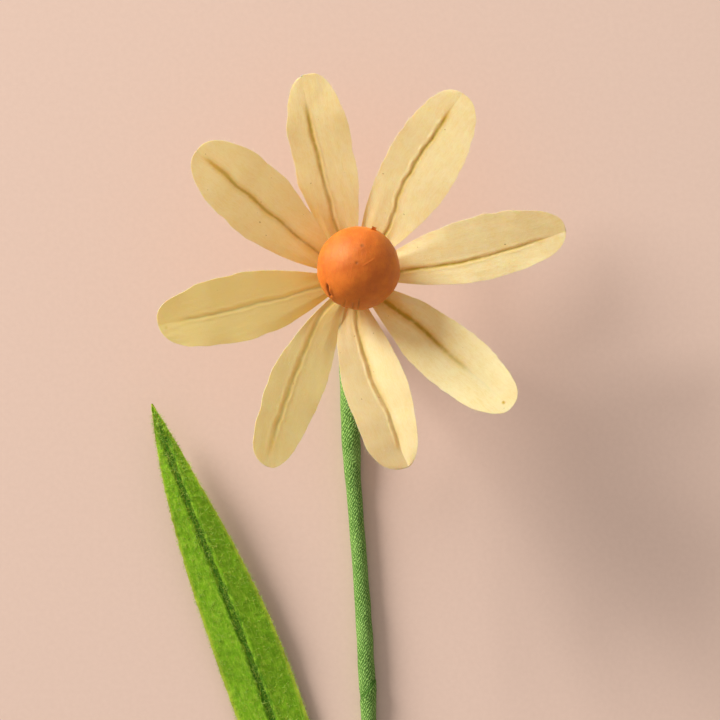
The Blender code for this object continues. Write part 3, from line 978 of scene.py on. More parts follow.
@dataclass
class Petal:
    """One petal: a creased paper sheet, cupped, with a lip on each side of its pinched crease."""

    head: Head
    number: int
    azimuth_deg: float
    length: float
    left: float
    right: float
    roll_slope: float
    crease: tuple[float, float, float, float]
    gap_before_deg: float
    gap_after_deg: float
    dish: float
    slope_trim: float = 0.0
    slit: float = 0.8
    depth: float = 0.08
    crease_end: float = 0.97
    lip_left: float = 0.05
    lip_right: float = 0.04
    arch: float = 0.7
    curl: float = 0.0
    tip_drop: float = 0.35
    shoulder_left: float = 1.0
    shoulder_right: float = 1.0
    lap_deg: float = 4.0
    # Strength of the painted crease shade at the root and at the tip, and its reach as a multiple of the
    # slit.
    tint: float = 1.0
    tint_tip: float = 0.8
    tint_reach: float = 2.5
    spot: tuple[float, float] | None = None
    # Share of painted backlight glow over the whole petal.
    warmth: float = 0.0
    # Share of painted shade over the whole petal.
    dusk: float = 0.0

    ROOT_RADIUS = 2.7
    FOOT_DROP = 5.2
    FOOT_RADIUS = 1.62
    BELLY_AT = 0.58
    TIP_POWER = 2.4
    THICKNESS = 0.11
    COLUMNS = 54
    ROWS = 132
    RUFFLE = 0.15
    FOOT_ROWS = 0.09
    FRINGE = 260
    WIRE_RADIUS = 0.2
    CRINKLE = 0.009
    DECKLE = 0.013
    WAVE = 0.024
    WANDER = 0.13
    PLEATS = 0.06
    CLOSE_COLUMNS = 0.42
    SHADE = 0.60
    CORE_SHADE = 0.50

    @property
    def name(self) -> str:
        """Name of the petal's CAD node."""
        return f"petal_{self.number}"

    def slope(self) -> float:
        """How steeply the petal rises outwards.

        Returns:
            The rise for each millimetre outwards.
        """
        away = math.radians(self.azimuth_deg - self.head.lean_deg)
        lean = math.tan(math.radians(self.head.tilt_deg)) * math.cos(away)
        return self.head.cup_slope + self.slope_trim - lean

    def crease_offset(self, share: Array) -> Array:
        """Sideways place of the crease, which starts midway between the neighbours.

        Args:
            share: Share of the petal's length.

        Returns:
            Sideways places in millimetres, left positive.
        """
        quarters = np.linspace(0.0, 1.0, 5)
        line = catmull_rom(np.stack([quarters, (0.0, *self.crease)], axis=1))
        left = self.gap_after_deg - self.azimuth_deg
        right = self.azimuth_deg - self.gap_before_deg
        middle = self.length * share * math.tan(math.radians(0.5 * (left - right)))
        free = np.interp(share, line[:, 0], line[:, 1])
        free = free + self.WANDER * Ripples(50 + self.number, 6.0, 8)(share * self.length)
        return middle + (free - middle) * ease(share, 0.05, 0.22)

    def belly(self, share: Array, shoulder: float) -> Array:
        """Outline of half a petal, 1 at its widest place; a low shoulder value fills its root.

        Args:
            share: Share of the petal's length.
            shoulder: Power of the inner half; a low one fills the root.

        Returns:
            Shares of the widest half-width.
        """
        inner = np.sin(0.5 * math.pi * np.minimum(share / self.BELLY_AT, 1.0)) ** shoulder
        past = np.clip((share - self.BELLY_AT) / (1.0 - self.BELLY_AT), 0.0, 1.0)
        return inner * (1.0 - past ** self.TIP_POWER) ** (1.0 / self.TIP_POWER)

    def half_width(self, share: Array, widest: float, wedge_deg: float, shoulder: float) -> Array:
        """Half-width, held to its own wedge near the head's middle.

        Args:
            share: Share of the petal's length.
            widest: Widest half-width.
            wedge_deg: Angle from the middle line to the edge of the wedge.
            shoulder: Power of the inner half.

        Returns:
            Half-widths in millimetres.
        """
        wedge = self.length * share * math.tan(math.radians(wedge_deg)) - 0.10
        free = np.maximum(widest * self.belly(share, shoulder), 0.001)
        return (np.maximum(wedge, 0.05) ** -8.0 + free ** -8.0) ** -0.125

    def widths(self, share: Array) -> tuple[Array, Array]:
        """Half-widths left and right of the crease, with a deckle edge.

        Args:
            share: Share of the petal's length.

        Returns:
            Half-widths left and right, in millimetres.
        """
        deckle = Ripples(40 + self.number, 3.4, 9)
        wave = Ripples(60 + self.number, 13.0, 5)
        along = share * self.length
        free = ease(share, 0.25, 0.45)
        crease = self.crease_offset(share)
        reach_left = self.gap_after_deg + self.lap_deg - self.azimuth_deg
        reach_right = self.azimuth_deg - self.gap_before_deg
        left = self.half_width(share, self.left, reach_left, self.shoulder_left)
        right = self.half_width(share, self.right, reach_right, self.shoulder_right)
        rough_left, rough_right = (
            1.0 + free * (self.DECKLE * deckle(along + shift) + self.WAVE * wave(along + shift))
            for shift in (0.0, 77.0))
        return left * rough_left - crease, right * rough_right + crease

    def section(self, share: Array, side: Array, reach: Array) -> Array:
        """Height of the paper across the petal, from the pinched crease to the ruffled rim.

        Args:
            share: Share of the petal's length.
            side: Signed distance from the crease, left positive.
            reach: Half-width on that side.

        Returns:
            Height above the crease's line.
        """
        far = np.abs(side)
        along = share * self.length
        opened = ease(share, 0.05, 0.35)
        rim = np.clip(far / np.maximum(reach, 0.3), 0.0, 1.0)
        height = -self.roll_slope * side * opened
        height += self.dish * far * (1.12 - 0.22 * rim) * opened
        end = self.crease_end
        wander = Ripples(80 + self.number, 5.0, 7)(along)
        depth = self.depth * (1.0 + 0.25 * wander) * (1.0 - ease(share, end - 0.22, end))
        wide = self.slit * (1.0 + 0.16 * Ripples(84 + self.number, 3.4, 7)(along))
        height -= depth * (1.0 - ease(far / wide, 0.15, 1.0))
        ragged = np.clip(0.75 + 0.45 * Ripples(90 + self.number, 2.6, 8)(along), 0.1, 1.6)
        lip = np.where(side > 0.0, self.lip_left, self.lip_right)
        fade = opened * (1.0 - ease(share, end - 0.2, end - 0.02))
        height += lip * ragged * fade * bump_at(far, wide + 0.22, 0.30)
        tuck = (1.0 - ease(share, 0.30, 0.48)) * ease(share, 0.07, 0.16)
        height += np.where(side > 0.0, -0.55, 0.10) * ease(rim, 0.55, 1.0) * tuck
        ruffle = Ripples(20 + self.number, 11.0, 5)(side * 0.4, along)
        height += self.RUFFLE * ruffle * rim ** 2.2 * opened
        pleats = Ripples(110 + self.number, 2.3, 6, 9.0)(side, along)
        height += self.PLEATS * pleats * (1.0 - ease(share, 0.14, 0.38)) * ease(share, 0.05, 0.12)
        if self.curl > 0.0:
            out = np.hypot(side + 0.6, 0.9 * (along - 0.955 * self.length))
            height += self.curl * (1.0 - ease(out, 1.9, 4.4))
        crinkle = Ripples(30 + self.number, 2.1, 9, 3.0)(side, along)
        height += self.CRINKLE * crinkle * ease(far, 0.8, 1.6) * opened
        return height

    def blade(self, share: Array, side: Array, reach: Array) -> Array:
        """Points of the petal's middle surface outside its root.

        Args:
            share: Share of the petal's length.
            side: Signed distance from the crease, left positive.
            reach: Half-width on that side.

        Returns:
            Points in millimetres round the head.
        """
        azimuth = math.radians(self.azimuth_deg)
        along = np.array([math.cos(azimuth), math.sin(azimuth), 0.0])
        across = np.array([-math.sin(azimuth), math.cos(azimuth), 0.0])
        sideways = side + self.crease_offset(share)
        radius = (share * self.length)[:, None]
        points = self.head.middle + along * radius + across * sideways[:, None]
        lift = self.slope() * share * self.length
        lift += self.arch * np.sin(math.pi * np.clip(share, 0.0, 1.0)) * ease(share, 0.1, 0.5)
        lift -= self.tip_drop * ease(share, 0.72, 1.05) * 2.0
        points[:, 2] += lift + self.section(share, side, reach)
        return points

    def build(self, material: Material) -> Piece:
        """Shape the petal from a grid and give the paper its thickness.

        Args:
            material: The petals' paper.

        Returns:
            The finished petal.
        """
        piece, grid = new_grid(self.name + "_paper", self.COLUMNS, self.ROWS)
        step = (grid[:, 1] + 1.0) / 2.0
        share, folded = self.stations(step)
        left, right = self.widths(share)
        reach = np.where(grid[:, 0] > 0.0, left, right)
        inner = np.minimum(2.2 * self.slit, 0.7 * reach)
        side = spread_columns(grid[:, 0], reach, inner, self.CLOSE_COLUMNS)
        far = np.abs(side)
        points = self.fold_foot(self.blade(share, side, reach), folded)
        set_points(piece, self.head.place(points))
        own_part = np.full_like(side, 9.0 * self.number)
        set_place(piece, "sheet", np.stack([side, share * self.length, own_part], axis=1))
        # Painted shade along the pinched crease, widest near the root and fading before the crease ends.
        fan = self.tint_reach * self.slit * (1.0 + 0.7 * (1.0 - ease(share, 0.16, 0.42)))
        shade = self.SHADE * (1.0 - ease(far, 0.1 * self.slit, fan))
        shade += self.CORE_SHADE * (1.0 - ease(far, 0.1 * self.slit, 1.1 * self.slit))
        fade = 1.0 - ease(share, self.crease_end - 0.12, self.crease_end - 0.02)
        tint = self.tint + (self.tint_tip - self.tint) * ease(share, 0.35, 0.85)
        crease_shade_and_spot = shade * tint * fade
        if self.spot is not None:
            away = np.hypot(side - self.spot[1], (share - self.spot[0]) * self.length)
            crease_shade_and_spot = np.maximum(crease_shade_and_spot, 1.3 * (1.0 - ease(away, 0.1, 0.55)))
        # The root share paints shade near the ball; the backlight share paints a glow and the shade share
        # darkens the whole petal.
        set_values(piece, crease=crease_shade_and_spot, root=1.0 - ease(share, 0.1, 0.34),
                   warmth=np.full_like(share, self.warmth), dusk=np.full_like(share, self.dusk))
        return finish(piece, material, Slot.PETAL, self.name, thickness=self.THICKNESS)

    def stations(self, step: Array) -> tuple[Array, Array]:
        """Shares of the length at each row of the grid, and how far the row is folded down.

        Args:
            step: Share of the grid's rows, from the foot.

        Returns:
            Shares of the length, and 0 on the blade to 1 at the foot's end.
        """
        root = self.ROOT_RADIUS / self.length
        out = np.clip((step - self.FOOT_ROWS) / (1.0 - self.FOOT_ROWS), 0.0, 1.0)
        share = root + (1.0 - root) * (out + 0.75 * out * (1.0 - out))
        return share, np.clip((self.FOOT_ROWS - step) / self.FOOT_ROWS, 0.0, 1.0)

    def build_wire(self, material: Material) -> Piece:
        """Lay the petal's thin wire under its crease, down into the stem's tape.

        Args:
            material: The thread-wound wire's finish.

        Returns:
            The finished wire.
        """
        share = np.linspace(self.ROOT_RADIUS / self.length, 0.86, 60)
        none = 0.0 * share
        points = self.blade(share, none, none + 3.0)
        points[:, 2] -= 0.5 * self.THICKNESS + self.WIRE_RADIUS + 0.02
        level = points[0] - self.head.middle
        level = 1.2 * unit(level - self.head.axis * (level @ self.head.axis))
        below = [self.head.middle + level - self.head.axis * drop for drop in (8.0, 4.0, 1.5)]
        return wire_along(self.name + "_thin_wire", self.head.place(np.vstack([below, points])),
                          self.WIRE_RADIUS, material, self.name + "_wire")

    def build_fringe(self, material: Material) -> Piece:
        """Add the fine fibres that stand out of the torn rim and lie on the paper.

        Args:
            material: The loose fibres' finish.

        Returns:
            The finished fibres.
        """
        draw = np.random.default_rng(200 + self.number)
        count = self.FRINGE
        share = draw.uniform(0.30, 0.985, count)
        left, right = self.widths(share)
        sign = draw.choice([-1.0, 1.0], count)
        reach = np.where(sign > 0.0, left, right)
        rim = draw.random(count) < 0.7
        side = sign * reach * np.where(rim, 0.995, draw.uniform(0.2, 0.95, count))
        points = self.blade(share, side, reach)
        points[:, 2] += np.where(rim, 0.0, 0.5 * self.THICKNESS)
        outward = math.radians(self.azimuth_deg) + sign * draw.uniform(0.2, 1.5, count)
        azimuth = np.where(rim, outward, draw.uniform(0.0, 2.0 * math.pi, count))
        rise = np.where(rim, draw.uniform(-0.4, 0.5, count), draw.uniform(0.05, 0.25, count))
        length = draw.uniform(0.35, 1.1, count)
        return Fluff(self.name + "_fringe", self.head, points, length, azimuth, rise, 0.014,
                     300 + self.number).build(material, Slot.PETAL)

    def fold_foot(self, points: Array, folded: Array) -> Array:
        """Bend the petal's foot down beside the stem, where the tape holds it.

        Args:
            points: Points of the petal.
            folded: 0 on the blade, up to 1 at the end of the foot.

        Returns:
            The points with the foot folded down.
        """
        axis = self.head.axis
        rel = points - self.head.middle
        height = rel @ axis
        level = rel - height[:, None] * axis
        radius = np.linalg.norm(level, axis=1)
        turn = folded ** 0.7
        target_radius = self.FOOT_RADIUS + (radius - self.FOOT_RADIUS) * (1.0 - turn)
        squeezed = level * (target_radius / np.maximum(radius, 0.01))[:, None]
        dropped = height * (1.0 - turn) - self.FOOT_DROP * folded ** 1.6
        moved = self.head.middle + squeezed + dropped[:, None] * axis
        return np.where((folded > 0.0)[:, None], moved, points)


@dataclass
class Ball:
    """The paper-skinned ball, with its slit, its wrinkles and the gathers at its back."""

    head: Head
    radius: float = 9.1

    SUBDIVISIONS = 7
    SKIN = 0.14
    SUNK = 0.15
    GATHERS = 15.0
    DENTS = 0.07
    FINE_DENTS = 0.022
    FLATS = (((0.97, 0.22), 0.20), ((0.55, -0.72), 0.10), ((-0.2, 0.9), 0.08))
    FLAT_REACH_DEG = 17.0
    PITS = (((0.085, 0.51), 0.08, 0.40), ((-0.04, 0.10), 0.07, 0.30))
    # Start and end seen from above, as shares of the radius, then depth and half-width.
    SLITS = (
        ((-0.74, -0.42), (-0.68, -0.64), 0.95, 0.40),
        ((-0.72, -0.56), (-0.62, -0.78), 0.62, 0.22),
        ((0.10, 0.02), (0.33, 0.17), -0.05, 0.15),
        ((0.26, 0.12), (0.42, 0.24), -0.04, 0.13),
        ((0.02, 0.30), (0.30, 0.50), 0.035, 0.45),
        ((-0.12, -0.84), (-0.14, -0.99), 0.16, 0.20),
        ((0.02, -0.74), (-0.02, -0.99), 0.20, 0.16),
        ((-0.30, -0.78), (-0.36, -0.93), 0.12, 0.20),
    )

    @property
    def middle(self) -> Array:
        """The ball's middle."""
        return self.head.middle + self.head.axis * self.head.ball_rise

    def direction(self, x: float, y: float) -> Array:
        """Direction of a place seen from above, given as shares of the radius.

        Args:
            x: Place to the right.
            y: Place towards the head.

        Returns:
            A unit direction.
        """
        level = min(math.hypot(x, y), 0.999)
        scale = level / max(math.hypot(x, y), 1e-6)
        return np.array([x * scale, y * scale, math.sqrt(1.0 - level * level)])

    def line(self, n: Array, start: Array, end: Array) -> tuple[Array, Array]:
        """Distance from a short line on the skin, signed by its side, and the share along it.

        Args:
            n: Unit directions from the ball's middle.
            start: Direction of the line's start.
            end: Direction of the line's end.

        Returns:
            Signed distances in millimetres, and shares along the line.
        """
        span = end - start
        share = np.clip((n - start) @ span / (span @ span), 0.0, 1.0)
        nearest = unit(start + share[:, None] * span)
        away = n - nearest
        distance = np.linalg.norm(away, axis=1) * self.radius
        sign = np.sign(away @ np.cross(nearest[0], span))
        return distance * sign, share

    def relief(self, n: Array) -> tuple[Array, Array]:
        """Height of the skin over the round ball, and how much painted shade its slits, gathers and pits
        get.

        Args:
            n: Unit directions from the ball's middle.

        Returns:
            Heights in millimetres, and shares of painted shade from 0 to 1.
        """
        r = self.radius
        x, y, z = (n[:, i] * r for i in range(3))
        height = self.DENTS * Ripples(3, 8.0, 7)(x, y, z)
        height += self.FINE_DENTS * Ripples(4, 2.6, 9)(x, y, z)
        groove = np.zeros(len(n))
        for flat, depth in self.FLATS:
            near = n @ self.direction(*flat)
            height -= depth * ease(near, math.cos(math.radians(self.FLAT_REACH_DEG)), 1.0)
        back = np.degrees(np.arccos(np.clip(-n @ self.head.axis, -1.0, 1.0)))
        around = self.around(n)
        folds = np.sin(self.GATHERS * around + 1.6 * np.sin(3.0 * around) + 0.03 * back)
        fold_share = 1.0 - ease(back, 40.0, 104.0)
        height += 0.22 * fold_share * np.abs(folds) - 0.16 * fold_share
        groove += 0.55 * fold_share * (1.0 - ease(np.abs(folds), 0.0, 0.35))
        for start, end, depth, width in self.SLITS:
            distance, share = self.line(n, self.direction(*start), self.direction(*end))
            taper = np.sin(math.pi * np.clip(share, 0.06, 0.94)) ** 0.5
            cut = bump_at(distance, 0.0, width) * taper
            height -= depth * cut
            groove += np.clip(1.4 * cut, 0.0, 1.0) * np.clip(depth / 0.5, 0.0, 1.0)
            height += 0.42 * depth * taper * bump_at(distance, 1.9 * width, 1.1 * width)
        for pit, depth, width in self.PITS:
            hollow = bump_at(np.linalg.norm(n - self.direction(*pit), axis=1) * r, 0.0, width)
            height -= depth * hollow
            groove += 0.5 * hollow
        return height, np.clip(groove, 0.0, 1.0)

    def around(self, n: Array) -> Array:
        """Angle round the head's axis.

        Args:
            n: Unit directions from the ball's middle.

        Returns:
            Angles in radians.
        """
        first = unit(np.cross(self.head.axis, [0.0, 1.0, 0.0]))
        second = np.cross(self.head.axis, first)
        return np.arctan2(n @ second, n @ first)

    def build(self, material: Material) -> Piece:
        """Shape the ball from a fine sphere.

        Args:
            material: The orange paper.

        Returns:
            The finished ball.
        """
        deselect_all()
        bpy.ops.mesh.primitive_ico_sphere_add(subdivisions=self.SUBDIVISIONS, radius=1.0)
        piece = bpy.context.object
        piece.name = "ball_paper_skin"
        n = unit(points_of(piece))
        height, groove = self.relief(n)
        set_points(piece, self.head.place(self.middle + n * (self.radius + height)[:, None]))
        # The groove shares paint shade into the slits, gathers and pits.
        set_values(piece, groove=groove)
        smooth(piece, 180.0)
        dress(piece, material)
        seat(piece, Slot.BALL, "centre_ball")
        return piece

    def build_flap(self, material: Material) -> Piece:
        """A torn tag of the paper skin that stands out at the ball's far edge.

        Args:
            material: The orange paper.

        Returns:
            The finished tag.
        """
        piece, grid = new_grid("ball_skin_tag", 10, 8)
        out = (grid[:, 1] + 1.0) / 2.0
        wide = 0.70 * (1.0 - 0.45 * out) * (1.0 + 0.15 * np.sin(9.0 * out))
        foot = self.direction(0.36, 0.90)
        across = unit(np.cross([0.0, 0.0, 1.0], foot))
        points = self.middle + foot * (self.radius - self.SUNK) + across * (grid[:, 0] * wide)[:, None]
        points += out[:, None] * np.array([0.25, 0.85, 0.35])
        points[:, 2] += 0.25 * np.sin(2.4 * out) + 0.12 * grid[:, 0] ** 2
        set_points(piece, self.head.place(points))
        # The tag darkens towards its free end.
        set_values(piece, groove=0.35 * out)
        return finish(piece, material, Slot.BALL, sharp_deg=70.0, thickness=self.SKIN)


# ---------------------------------------------------------------- the stem and the leaf

@dataclass
class Stem:
    """The taped stem: crepe tape wound on the slant, thicker where it covers more wires."""

    head: Head
    start: float = 1.9
    radius_top: float = 1.85
    radius_end: float = 1.70
    bulge: float = 0.40
    lap: float = 9.5
    lap_step: float = 0.13
    bore: float = 1.15

    ROWS = 1150
    COLUMNS = 44
    TUCK = (3.0, 3.0, 1.5, 0.3, 0.0, 0.0)
    CREPE = 0.02
    CREPE_PITCH = 0.62
    CREPE_ALONG = 0.545
    CREPE_AROUND = 0.839
    LUMPS = 0.045
    LOWEST = 0.05
    PLAIN_SEAM = 0.25
    SEAMS = ((113.0, 7.0, 1.6), (205.0, 9.0, 1.2))

    ROUTE = (
        (0.0, 0.0, 27.0), (-0.7, -0.86, 22.2), (-1.45, -1.8, 16.8), (-1.95, -2.85, 11.6),
        (-1.9, -4.7, 6.8), (-1.5, -8.4, 3.4), (-1.1, -14.0, 2.3), (-0.75, -22.0, 2.25),
        (-0.45, -32.0, 2.25), (0.15, -45.0, 1.9), (1.65, -64.0, 1.85), (3.1, -86.0, 1.8),
        (4.1, -110.0, 1.8), (4.0, -138.0, 1.8), (2.4, -170.0, 2.2), (-1.4, -208.0, 2.2),
        (-7.0, -248.0, 1.75), (-12.6, -278.0, 1.75),
    )

    def __post_init__(self) -> None:
        """Thread the stem's centre line."""
        self.route = Route(self.ROUTE)

    def radius(self, arcs: Array) -> Array:
        """Outer radius of the wrapped stem.

        Args:
            arcs: Arc lengths, in millimetres.

        Returns:
            Radii in millimetres.
        """
        neck = 1.0 - ease(arcs, 53.0, 67.0)
        joint = ease(arcs, 182.0, 192.0) - ease(arcs, 223.0, 235.0)
        plain = self.radius_top + (self.radius_end - self.radius_top) * arcs / self.route.length
        swell = 0.14 * ease(arcs, 84.0, 98.0) * (1.0 - ease(arcs, 111.0, 114.0))
        return plain + swell + self.bulge * np.maximum(neck, joint)

    def centre(self, arcs: Array) -> Array:
        """Centre line, which rests on the table past the bend.

        Args:
            arcs: Arc lengths, in millimetres.

        Returns:
            Points in millimetres round the head.
        """
        points = self.route.at(arcs)
        resting = ease(arcs, 29.0, 33.0)
        points[:, 2] += resting * (self.radius(arcs) - points[:, 2])
        return points

    def frames(self, arcs: Array) -> tuple[Array, Array]:
        """Two directions square to the stem at each arc length, carried without twist.

        Args:
            arcs: Arc lengths, in millimetres.

        Returns:
            The two sets of unit directions.
        """
        tangents = self.route.along(arcs)
        first = unit(np.cross([0.0, 1.0, 0.0], tangents[0]))
        firsts = []
        for tangent in tangents:
            first = unit(first - tangent * (first @ tangent))
            firsts.append(first)
        firsts = np.array(firsts)
        return firsts, np.cross(tangents, firsts)

    def build(self, material: Material) -> Piece:
        """Roll a grid into the tape's tube, with a spiral lap and tucked ends.

        Args:
            material: The crepe tape.

        Returns:
            The finished wrap.
        """
        piece, grid = new_grid("stem_crepe_wrap", self.COLUMNS, self.ROWS)
        levels, row = np.unique(np.round(grid[:, 1], 6), return_inverse=True)
        tuck = len(self.TUCK)
        inner = len(levels) - 2 * tuck
        inward = np.array(self.TUCK)
        arcs = np.concatenate([self.start + inward, np.linspace(self.start, self.route.length, inner),
                               self.route.length - inward[::-1]])
        full = np.concatenate([np.zeros(tuck), np.ones(inner), np.zeros(tuck)])
        bore = np.full_like(arcs, self.bore)
        bore[[0, -1]] = 0.02
        bore[[tuck - 1, -tuck]] = self.radius(arcs[[tuck, -tuck - 1]]) - 0.12
        firsts, seconds = self.frames(arcs)
        angle = math.pi * grid[:, 0]
        arc = arcs[row]
        outer = self.radius(arcs)[row]
        turn = np.mod(arc / self.lap - angle / (2.0 * math.pi), 1.0)
        wander = 0.05 * Ripples(7, 9.0, 6)(arc, 3.0 * angle)
        phase = np.mod(turn + wander, 1.0)
        strong = self.PLAIN_SEAM + sum(more * bump_at(arc, at, spread) for at, spread, more in self.SEAMS)
        step = strong * self.lap_step * (ease(phase, 0.0, 0.045) * (1.0 - phase))
        lumps = self.LUMPS * Ripples(8, 7.0, 8)(arc, outer * np.cos(angle), outer * np.sin(angle))
        across = arc * self.CREPE_ALONG + angle * outer * self.CREPE_AROUND
        crepe = self.CREPE * (0.5 + 0.5 * np.sin(2.0 * math.pi * across / self.CREPE_PITCH))
        proud = full[row]
        radius = np.where(proud > 0.0, outer + step + lumps + crepe - 0.10, bore[row])
        swing = firsts[row] * np.cos(angle)[:, None] + seconds[row] * np.sin(angle)[:, None]
        points = self.centre(arcs)[row] + swing * radius[:, None]
        points[:, 2] = np.maximum(points[:, 2], self.LOWEST)
        set_points(piece, self.head.place(points))
        set_place(piece, "sheet", np.stack([angle * 1.9, arc, 0.0 * arc], axis=1))
        seam = proud * np.minimum(strong, 1.3) * (bump_at(phase, 0.0, 0.05) + bump_at(phase, 1.0, 0.05))
        set_values(piece, seam=np.clip(seam, 0.0, 1.0))
        return finish(piece, material, Slot.TAPE, "stem_wrap", sharp_deg=75.0)


@dataclass
class Leaf:
    """The long felted leaf, with its pinched midrib and its fluff."""

    head: Head
    half_width: float = 7.7
    foot_half_width: float = 1.3
    droop: float = 0.20
    droop_low: float = 0.10
    tip_power: float = 0.86
    channel: float = 0.5
    slit: float = 1.05
    thickness: float = 0.42
    fluff_count: int = 9000

    RIB = (
        (-0.7, -160.0, 2.3), (-3.6, -148.0, 1.8), (-9.2, -125.0, 1.35), (-18.7, -98.4, 3.4),
        (-25.3, -80.3, 5.2), (-35.9, -53.9, 7.3), (-41.1, -40.3, 7.6), (-45.4, -28.2, 7.4),
    )
    COLUMNS = 46
    ROWS = 380
    CLOSE_COLUMNS = 0.4
    FRAY = 0.07
    RIM_WAVE = 0.22
    GRAIN = 0.05
    WIRE_TAIL = ((0.6, -172.0, 2.0), (0.9, -186.0, 2.0), (-0.4, -200.0, 2.0))
    WIRE_RADIUS = 0.25
    LOWEST = 0.30
    ON_RIM = 0.22
    NEAR_RIB = 0.22

    def __post_init__(self) -> None:
        """Thread the midrib."""
        self.rib = Route(self.RIB)

    def width(self, share: Array) -> Array:
        """Half-width of the leaf from foot to tip.

        Args:
            share: Share of the leaf's length, from the foot.

        Returns:
            Half-widths in millimetres.
        """
        half = np.abs(share - 0.5) * 2.0
        swell = np.sin(0.5 * math.pi * np.maximum(1.0 - half, 0.0) ** self.tip_power)
        foot = self.foot_half_width * (1.0 - ease(share, 0.0, 0.25))
        return np.maximum(np.maximum(self.half_width * swell, foot), 0.10)

    def surface(self, share: Array, side: Array) -> Array:
        """Points of the leaf's middle surface.

        Args:
            share: Share of the leaf's length, from the foot.
            side: Signed distance from the midrib.

        Returns:
            Points in millimetres round the head.
        """
        arcs = share * self.rib.length
        ahead = self.rib.along(arcs)
        across = unit(np.stack([-ahead[:, 1], ahead[:, 0], 0.0 * arcs], axis=1))
        far = np.abs(side)
        rim = np.clip(far / self.width(share), 0.0, 1.0)
        height = -far * (self.droop_low + (self.droop - self.droop_low) * ease(share, 0.35, 0.65))
        depth = self.channel * (1.0 - ease(share, 0.90, 0.98))
        wide = self.slit * np.minimum(1.0, 0.8 * self.width(share) / self.slit)
        height -= depth * (1.0 - ease(far / wide, 0.5, 1.0))
        height += 0.10 * bump_at(far, wide + 0.3, 0.4) * (1.0 - ease(share, 0.86, 0.96))
        height += self.RIM_WAVE * Ripples(12, 16.0, 6)(side, arcs) * rim ** 2 * ease(share, 0.05, 0.3)
        height += self.GRAIN * Ripples(13, 2.4, 9)(side, arcs)
        points = self.rib.at(arcs) + across * side[:, None]
        points[:, 2] = np.maximum(points[:, 2] + height, self.LOWEST)
        return points

    def build(self, material: Material) -> Piece:
        """Shape the leaf from a grid and give the felt its thickness.

        Args:
            material: The felted paper.

        Returns:
            The finished leaf.
        """
        piece, grid = new_grid("leaf_felt", self.COLUMNS, self.ROWS)
        share = (grid[:, 1] + 1.0) / 2.0
        fray = Ripples(14, 1.6, 9)(share * self.rib.length, 5.0 * np.sign(grid[:, 0]))
        reach = self.width(share) + self.FRAY * fray * ease(share, 0.02, 0.1)
        inner = np.minimum(1.5 * self.slit, 0.7 * reach)
        side = spread_columns(grid[:, 0], reach, inner, self.CLOSE_COLUMNS)
        set_points(piece, self.head.place(self.surface(share, side)))
        set_place(piece, "sheet", np.stack([side, share * self.rib.length, 0.0 * side], axis=1))
        # Painted shade along the pinched midrib, read by the material as crease.
        wide = self.slit * (1.0 + 0.25 * Ripples(15, 7.0, 7)(share * self.rib.length))
        shade = 1.0 - ease(np.abs(side), 0.0, 1.6 * wide)
        set_values(piece, crease=0.92 * shade * (1.0 - ease(share, 0.95, 0.995)),
                   rim=ease(np.abs(side) / reach, 0.86, 1.0))
        return finish(piece, material, Slot.LEAF, "leaf", thickness=self.thickness)

    def build_wire(self, material: Material) -> Piece:
        """Lay the thin wire under the midrib, down into the stem's tape.

        Args:
            material: The thread-wound wire's finish.

        Returns:
            The finished wire.
        """
        share = np.linspace(0.93, 0.02, 90)
        points = self.surface(share, 0.0 * share)
        below = 0.5 * self.thickness + self.WIRE_RADIUS + 0.05
        points[:, 2] = np.maximum(points[:, 2] - below, self.WIRE_RADIUS + 0.07)
        return wire_along("leaf_thin_wire", self.head.place(np.vstack([points, self.WIRE_TAIL])),
                          self.WIRE_RADIUS, material, "leaf_wire")

    def build_fluff(self, material: Material) -> Piece:
        """Loose felt fibres that lie on the leaf and stand out past its rim.

        Args:
            material: The loose fibres' finish.

        Returns:
            The finished fibres.
        """
        draw = np.random.default_rng(21)
        count = self.fluff_count
        share = draw.uniform(0.01, 0.985, count)
        width = self.width(share)
        on_rim = draw.random(count) < self.ON_RIM
        spread = np.where(on_rim, draw.choice([-1.0, 1.0], count), draw.uniform(-0.97, 0.97, count))
        side = spread * width
        near_rib = ~on_rim & (draw.random(count) < self.NEAR_RIB)
        side = np.where(near_rib, np.clip(draw.normal(0.0, 0.9, count), -0.9 * width, 0.9 * width), side)
        foot = self.surface(share, side)
        foot[:, 2] += 0.5 * self.thickness - 0.03
        length = draw.uniform(0.5, 1.5, count) * np.where(on_rim, 0.55, 1.0)
        turn = draw.uniform(0.0, 2.0 * math.pi, count)
        outward = math.radians(25.0) + np.where(side > 0.0, math.pi, 0.0) + draw.normal(0.0, 0.6, count)
        azimuth = np.where(on_rim, outward, turn)
        rise = np.where(on_rim, draw.uniform(-0.15, 0.35, count), draw.uniform(0.02, 0.30, count))
        return Fluff("leaf_fluff", self.head, foot, length, azimuth, rise, 0.032, 22).build(
            material, Slot.LEAF)


